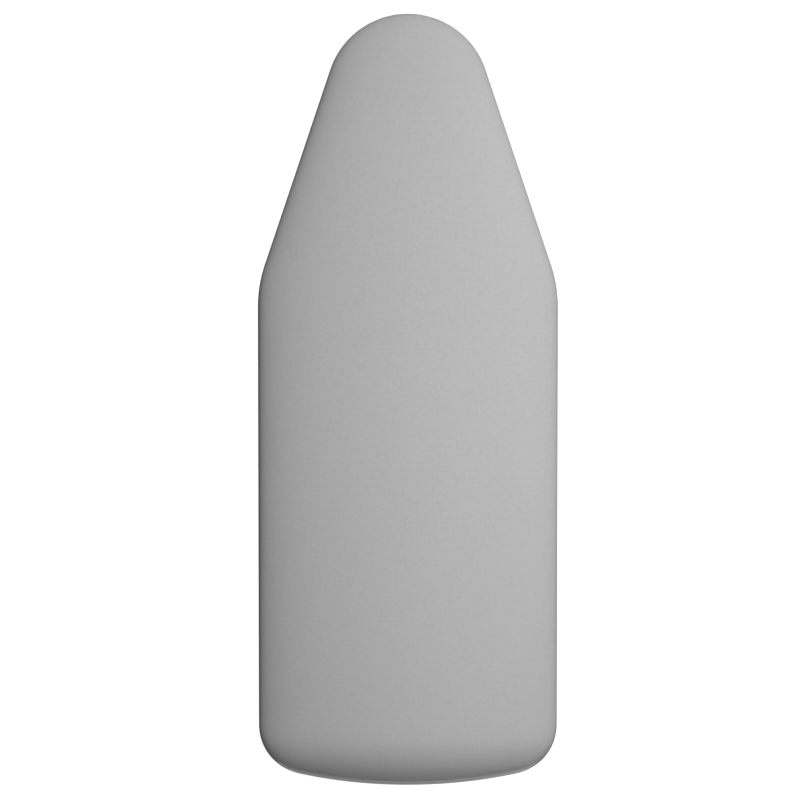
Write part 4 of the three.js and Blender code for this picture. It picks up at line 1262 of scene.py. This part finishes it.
class BOARD_OT_height_lock(bpy.types.Operator):
    """The sprung lever: pin, spring, clamp plates, wire bail and grip"""

    bl_idname = "board.height_lock"
    bl_label = "Height lock"

    def execute(self, context):
        rod_x, rod_z = middle("guide_rod_right")[[0, 2]]
        self.pin()
        self.spring()
        wire, reach = 4, 95
        spread = size("lever_bail")[0] / 2 - wire
        for side, flip in (("left", True), ("right", False)):
            self.clamp(f"clamp_plate_{side}", flip, rod_x, rod_z - LEVER[2], spread + wire)
        self.bail(wire, spread, reach)
        self.grip(reach, wire)
        return {"FINISHED"}

    def pin(self):
        end = size("lever_pin")[0] / 2
        face, head = end - 3.5, 5
        half = [(face, LEVER_PIN), (face, head - 0.5), (face + 0.5, head), (end - 1.6, head - 0.2),
                (end - 0.5, head - 1.6), (end, 0)]
        new_piece("lever_pin_riveted", placed(lathed(both_ways(half)), LEVER), "zinc", "runner",
                  "zinc_steel", "lever_pin")

    def spring(self):
        """A torsion spring of five close turns, one tang behind and one ahead."""
        wire, coil, turns, pitch, tang = 0.9, 5.2, 5, 2.6, 9
        steps = turns * 24
        half = turns * pitch / 2
        angles = np.arange(steps + 1) * TAU / 24
        turn = np.stack([-half + 2 * half * angles / angles[-1], coil * np.cos(angles),
                         coil * np.sin(angles)], 1)
        tail = np.linspace(1, 0.1, 8)[:, None]
        path = np.concatenate([[(-half, coil, 0)] + tail * (0, 0, -tang), turn,
                               [(half, coil, 0)] + tail[::-1] * (0, 0, tang)])
        new_piece("lever_spring_coiled", placed(swept(path, circle(wire, 12)), LEVER),
                  "spring", "runner", "spring_steel", "lever_spring")

    def clamp(self, node, flip, rod_x, rod_rise, edge):
        """An angle of plate: a face with a slack hole round the rod, and an ear on the pin."""
        plate, behind, drop, height, margin, slack_hole = 3, 8, 6, 32, 11, 7.5
        low_x = rod_x - margin
        face = softened([(low_x, -drop), (edge, -drop), (edge, height - drop),
                         (low_x, height - drop)], 2.5, 4)
        upright = placed(prism(face, plate, 0.35, [circle(slack_hole, 28, (rod_x, rod_rise))],
                               plane="XZ"), (0, -behind - plate / 2, 0))
        ear = softened([(-behind - plate / 2, -drop), (drop - 0.01, -drop), (drop, drop + 2),
                        (-behind - plate / 2, drop + 2)], 2.5, 4)
        side = placed(prism(ear, plate, 0.35), (edge - plate / 2, 0, 0))
        mirror = Matrix.Scale(-1 if flip else 1, 4, (1, 0, 0))
        new_piece(f"{node}_pressed", side, "zinc", "release_lever", "zinc_steel", node,
                  bores=[bore(LEVER_PIN + GAP)], also=upright,
                  place=(shifted(LEVER) @ mirror
                         @ Matrix.Rotation(LEVER_TILT, 4, "X")))

    def bail(self, wire, spread, reach):
        start, bend = -11.3, 12
        arc = [(spread - bend + bend * math.cos(t), -reach + bend - bend * math.sin(t))
               for t in np.linspace(0, math.pi / 2, 13)]
        half = [(spread, y) for y in np.linspace(start, bend - reach, 12)[:-1]] + arc
        path = [(x, y, 0) for x, y in half] + [(-x, y, 0) for x, y in half[::-1]]
        shape = swept(path, circle(wire, 20))
        new_piece("lever_bail_bent", placed(shape, LEVER, LEVER_TILT), "zinc",
                  "release_lever", "zinc_steel", "lever_bail")

    def grip(self, reach, wire):
        """A moulded sleeve on the bail with five finger grooves."""
        radius, half = 9, size("lever_grip")[0] / 2
        body = [(x, radius - 0.9 * math.sin(x * math.pi * 5 / (2 * half - 8)) ** 2)
                for x in np.linspace(4 - half, half - 4, 61)]
        profile = ([(-half, wire + 0.3), (-half, radius - 2.6), (0.8 - half, radius - 1.2)]
                   + body + [(half - 0.8, radius - 1.2), (half, radius - 2.6), (half, wire + 0.3)])
        shape = placed(lathed(profile, 48), (0, -reach, 0))
        new_piece("lever_grip_moulded", placed(shape, LEVER, LEVER_TILT), "plastic",
                  "release_lever", "moulded_plastic", "lever_grip")


# ------------------------------------------------------------------ transport catch


class BOARD_OT_transport_catch(bpy.types.Operator):
    """The hook that holds the folded legs, with its bracket and pin"""

    bl_idname = "board.transport_catch"
    bl_label = "Transport catch"

    def execute(self, context):
        low, high = box("catch_bracket")
        cheek = 2
        channel, rounding = clevis_shape((high - low)[0] / 2 - cheek, cheek, (high - low)[1] / 2,
                                         high[2] - CATCH[2])
        new_piece("catch_bracket_folded", channel, "frame_enamel", "board_top", "frame_enamel",
                  "catch_bracket", bores=(rounding, bore(CATCH_PIN + GAP)),
                  place=shifted(CATCH))
        end = size("catch_pin")[0] / 2
        half = [(end - 2, CATCH_PIN), (end - 2, 3.6), (end - 1.6, 4), (end - 0.6, 3.4),
                (end, 1.6), (end, 0)]
        new_piece("catch_pin_riveted", placed(lathed(both_ways(half), 32), CATCH), "zinc",
                  "board_top", "zinc_steel", "catch_pin")
        self.hook()
        return {"FINISHED"}

    def hook(self):
        """Drawn hanging down, then swung forward to its rest."""
        width, boss, shank, lip, reach, cut = 16, 6, 3, 5, 27, 2
        drop, brace, clearance = 22, 9, 2                   # pin to the folded brace's axis
        top = -drop - brace - clearance
        head = [(boss * math.cos(t), boss * math.sin(t)) for t in np.linspace(0, math.pi, 15)]
        arm = softened([(-shank, top), (-reach, top), (cut - reach, top - lip),
                        (shank - cut, top - lip), (shank, top - lip + cut)], 2, 4, closed=False)
        slot = softened([(-2, top + 6), (2, top + 6), (2.6, -9), (-2.6, -9)], 1.2, 3)
        recesses = [placed(prism(slot, 6, 0.2), (side * width / 2, 0, 0)) for side in (-1, 1)]
        new_piece("transport_catch_moulded", prism(np.concatenate([head, arm]), width, 0.4),
                  "plastic", "transport_catch", "moulded_plastic", "transport_catch",
                  bores=(bore(CATCH_PIN + GAP), *recesses),
                  place=shifted(CATCH) @ Matrix.Rotation(math.pi / 2, 4, "X"))


# ------------------------------------------------------------------ stage


class BOARD_OT_stage(bpy.types.Operator):
    """Camera over the board, a pale floor and soft studio lights"""

    bl_idname = "board.stage"
    bl_label = "Stage"

    def execute(self, context):
        own = settings().stage
        scene = context.scene
        scene.view_settings.view_transform = "Standard"
        camera = bpy.data.objects.new("camera", bpy.data.cameras.new("camera"))
        camera.data.lens, camera.data.sensor_width = 85, 36
        camera.location = (-0.0122, 0.0017, own.height)
        camera.data.clip_end = 30
        scene.collection.objects.link(camera)
        scene.camera = camera
        self.floor()
        self.lights()
        return {"FINISHED"}

    def floor(self):
        reach = 6000
        corners = [(x, y, -0.6) for x, y in ((-1, -1), (1, -1), (1, 1), (-1, 1))]
        points = np.array(corners) * (reach, reach, 1)
        tree, place, finish = new_material("painted_floor", Roughness=0.9)
        faint = add_node(tree, "TexNoise", "Fac", Vector=place, Scale=grains(300))
        tone = add_node(tree, "ValToRGB", Fac=faint, ends=(linear("#F4F4F4"), linear("#FAFAFA")))
        paint = finish(Base_Color=tone, Emission_Color=tone)
        shader = paint.node_tree.nodes["Principled BSDF"]
        shader.inputs["Emission Strength"].default_value = 1.0
        floor = new_object("floor", (points, [[0, 1, 2, 3]]), paint)
        floor.visible_diffuse = False

    def lights(self):
        own = settings().stage
        for name, at, aim, reach, power, spread in (
            ("softbox_key", (0.19, 0.22, 1.52), (0.19, 0.22, 0.9), (0.3, 2.5), own.key, 180),
            ("softbox_nose", (0.80, 1.40, 2.50), (0.05, -0.45, 0.9), (0.4, 0.4), own.second, 80),
        ):
            lamp = bpy.data.lights.new(name, "AREA")
            lamp.shape, lamp.size, lamp.size_y, lamp.energy = "RECTANGLE", *reach, power
            lamp.spread = math.radians(spread)
            placed_lamp = bpy.data.objects.new(name, lamp)
            placed_lamp.location = at
            ahead = Vector(aim) - Vector(at)
            placed_lamp.rotation_euler = ahead.to_track_quat("-Z", "Y").to_euler()
            placed_lamp.visible_camera = False
            bpy.context.scene.collection.objects.link(placed_lamp)
        world = bpy.data.worlds.new("studio")
        world.use_nodes = True
        sky = world.node_tree.nodes["Background"]
        sky.inputs["Color"].default_value = linear("#FFFFFF")
        sky.inputs["Strength"].default_value = own.fill
        bpy.context.scene.world = world


# ------------------------------------------------------------------ add-on


class BOARD_PT_panel(bpy.types.Panel):
    """Sizes, colours and pieces of the ironing board"""

    bl_idname = "BOARD_PT_panel"
    bl_label = "Ironing Board"
    bl_space_type = "VIEW_3D"
    bl_region_type = "UI"
    bl_category = "Ironing Board"

    def draw(self, context):
        layout = self.layout
        for group in GROUPS:
            box = layout.box()
            own = getattr(settings(), group)
            for key in own.bl_rna.properties.keys():
                if key not in ("rna_type", "name"):
                    box.prop(own, key)
        for operator in OPERATORS:
            layout.operator(operator.bl_idname)


GROUPS = ("cover", "top", "legs", "stage")
OPERATORS = (
    BOARD_OT_stage, BOARD_OT_cover, BOARD_OT_pad, BOARD_OT_top_sheet, BOARD_OT_rim,
    BOARD_OT_rear_hinge, BOARD_OT_leg_frames, BOARD_OT_crossing, BOARD_OT_guide_rods,
    BOARD_OT_height_lock, BOARD_OT_transport_catch,
)
CLASSES = (CoverSettings, TopSettings, FrameSettings, StageSettings, BoardSettings, *OPERATORS,
           BOARD_PT_panel)


def register():
    for entry in CLASSES:
        bpy.utils.register_class(entry)
    bpy.types.Scene.ironing_board = PointerProperty(type=BoardSettings)


def unregister():
    del bpy.types.Scene.ironing_board
    for entry in reversed(CLASSES):
        bpy.utils.unregister_class(entry)


def main():
    register()
    make_materials()
    for operator in OPERATORS:
        getattr(bpy.ops.board, operator.bl_idname.split(".")[1])()


if __name__ == "__main__":
    main()
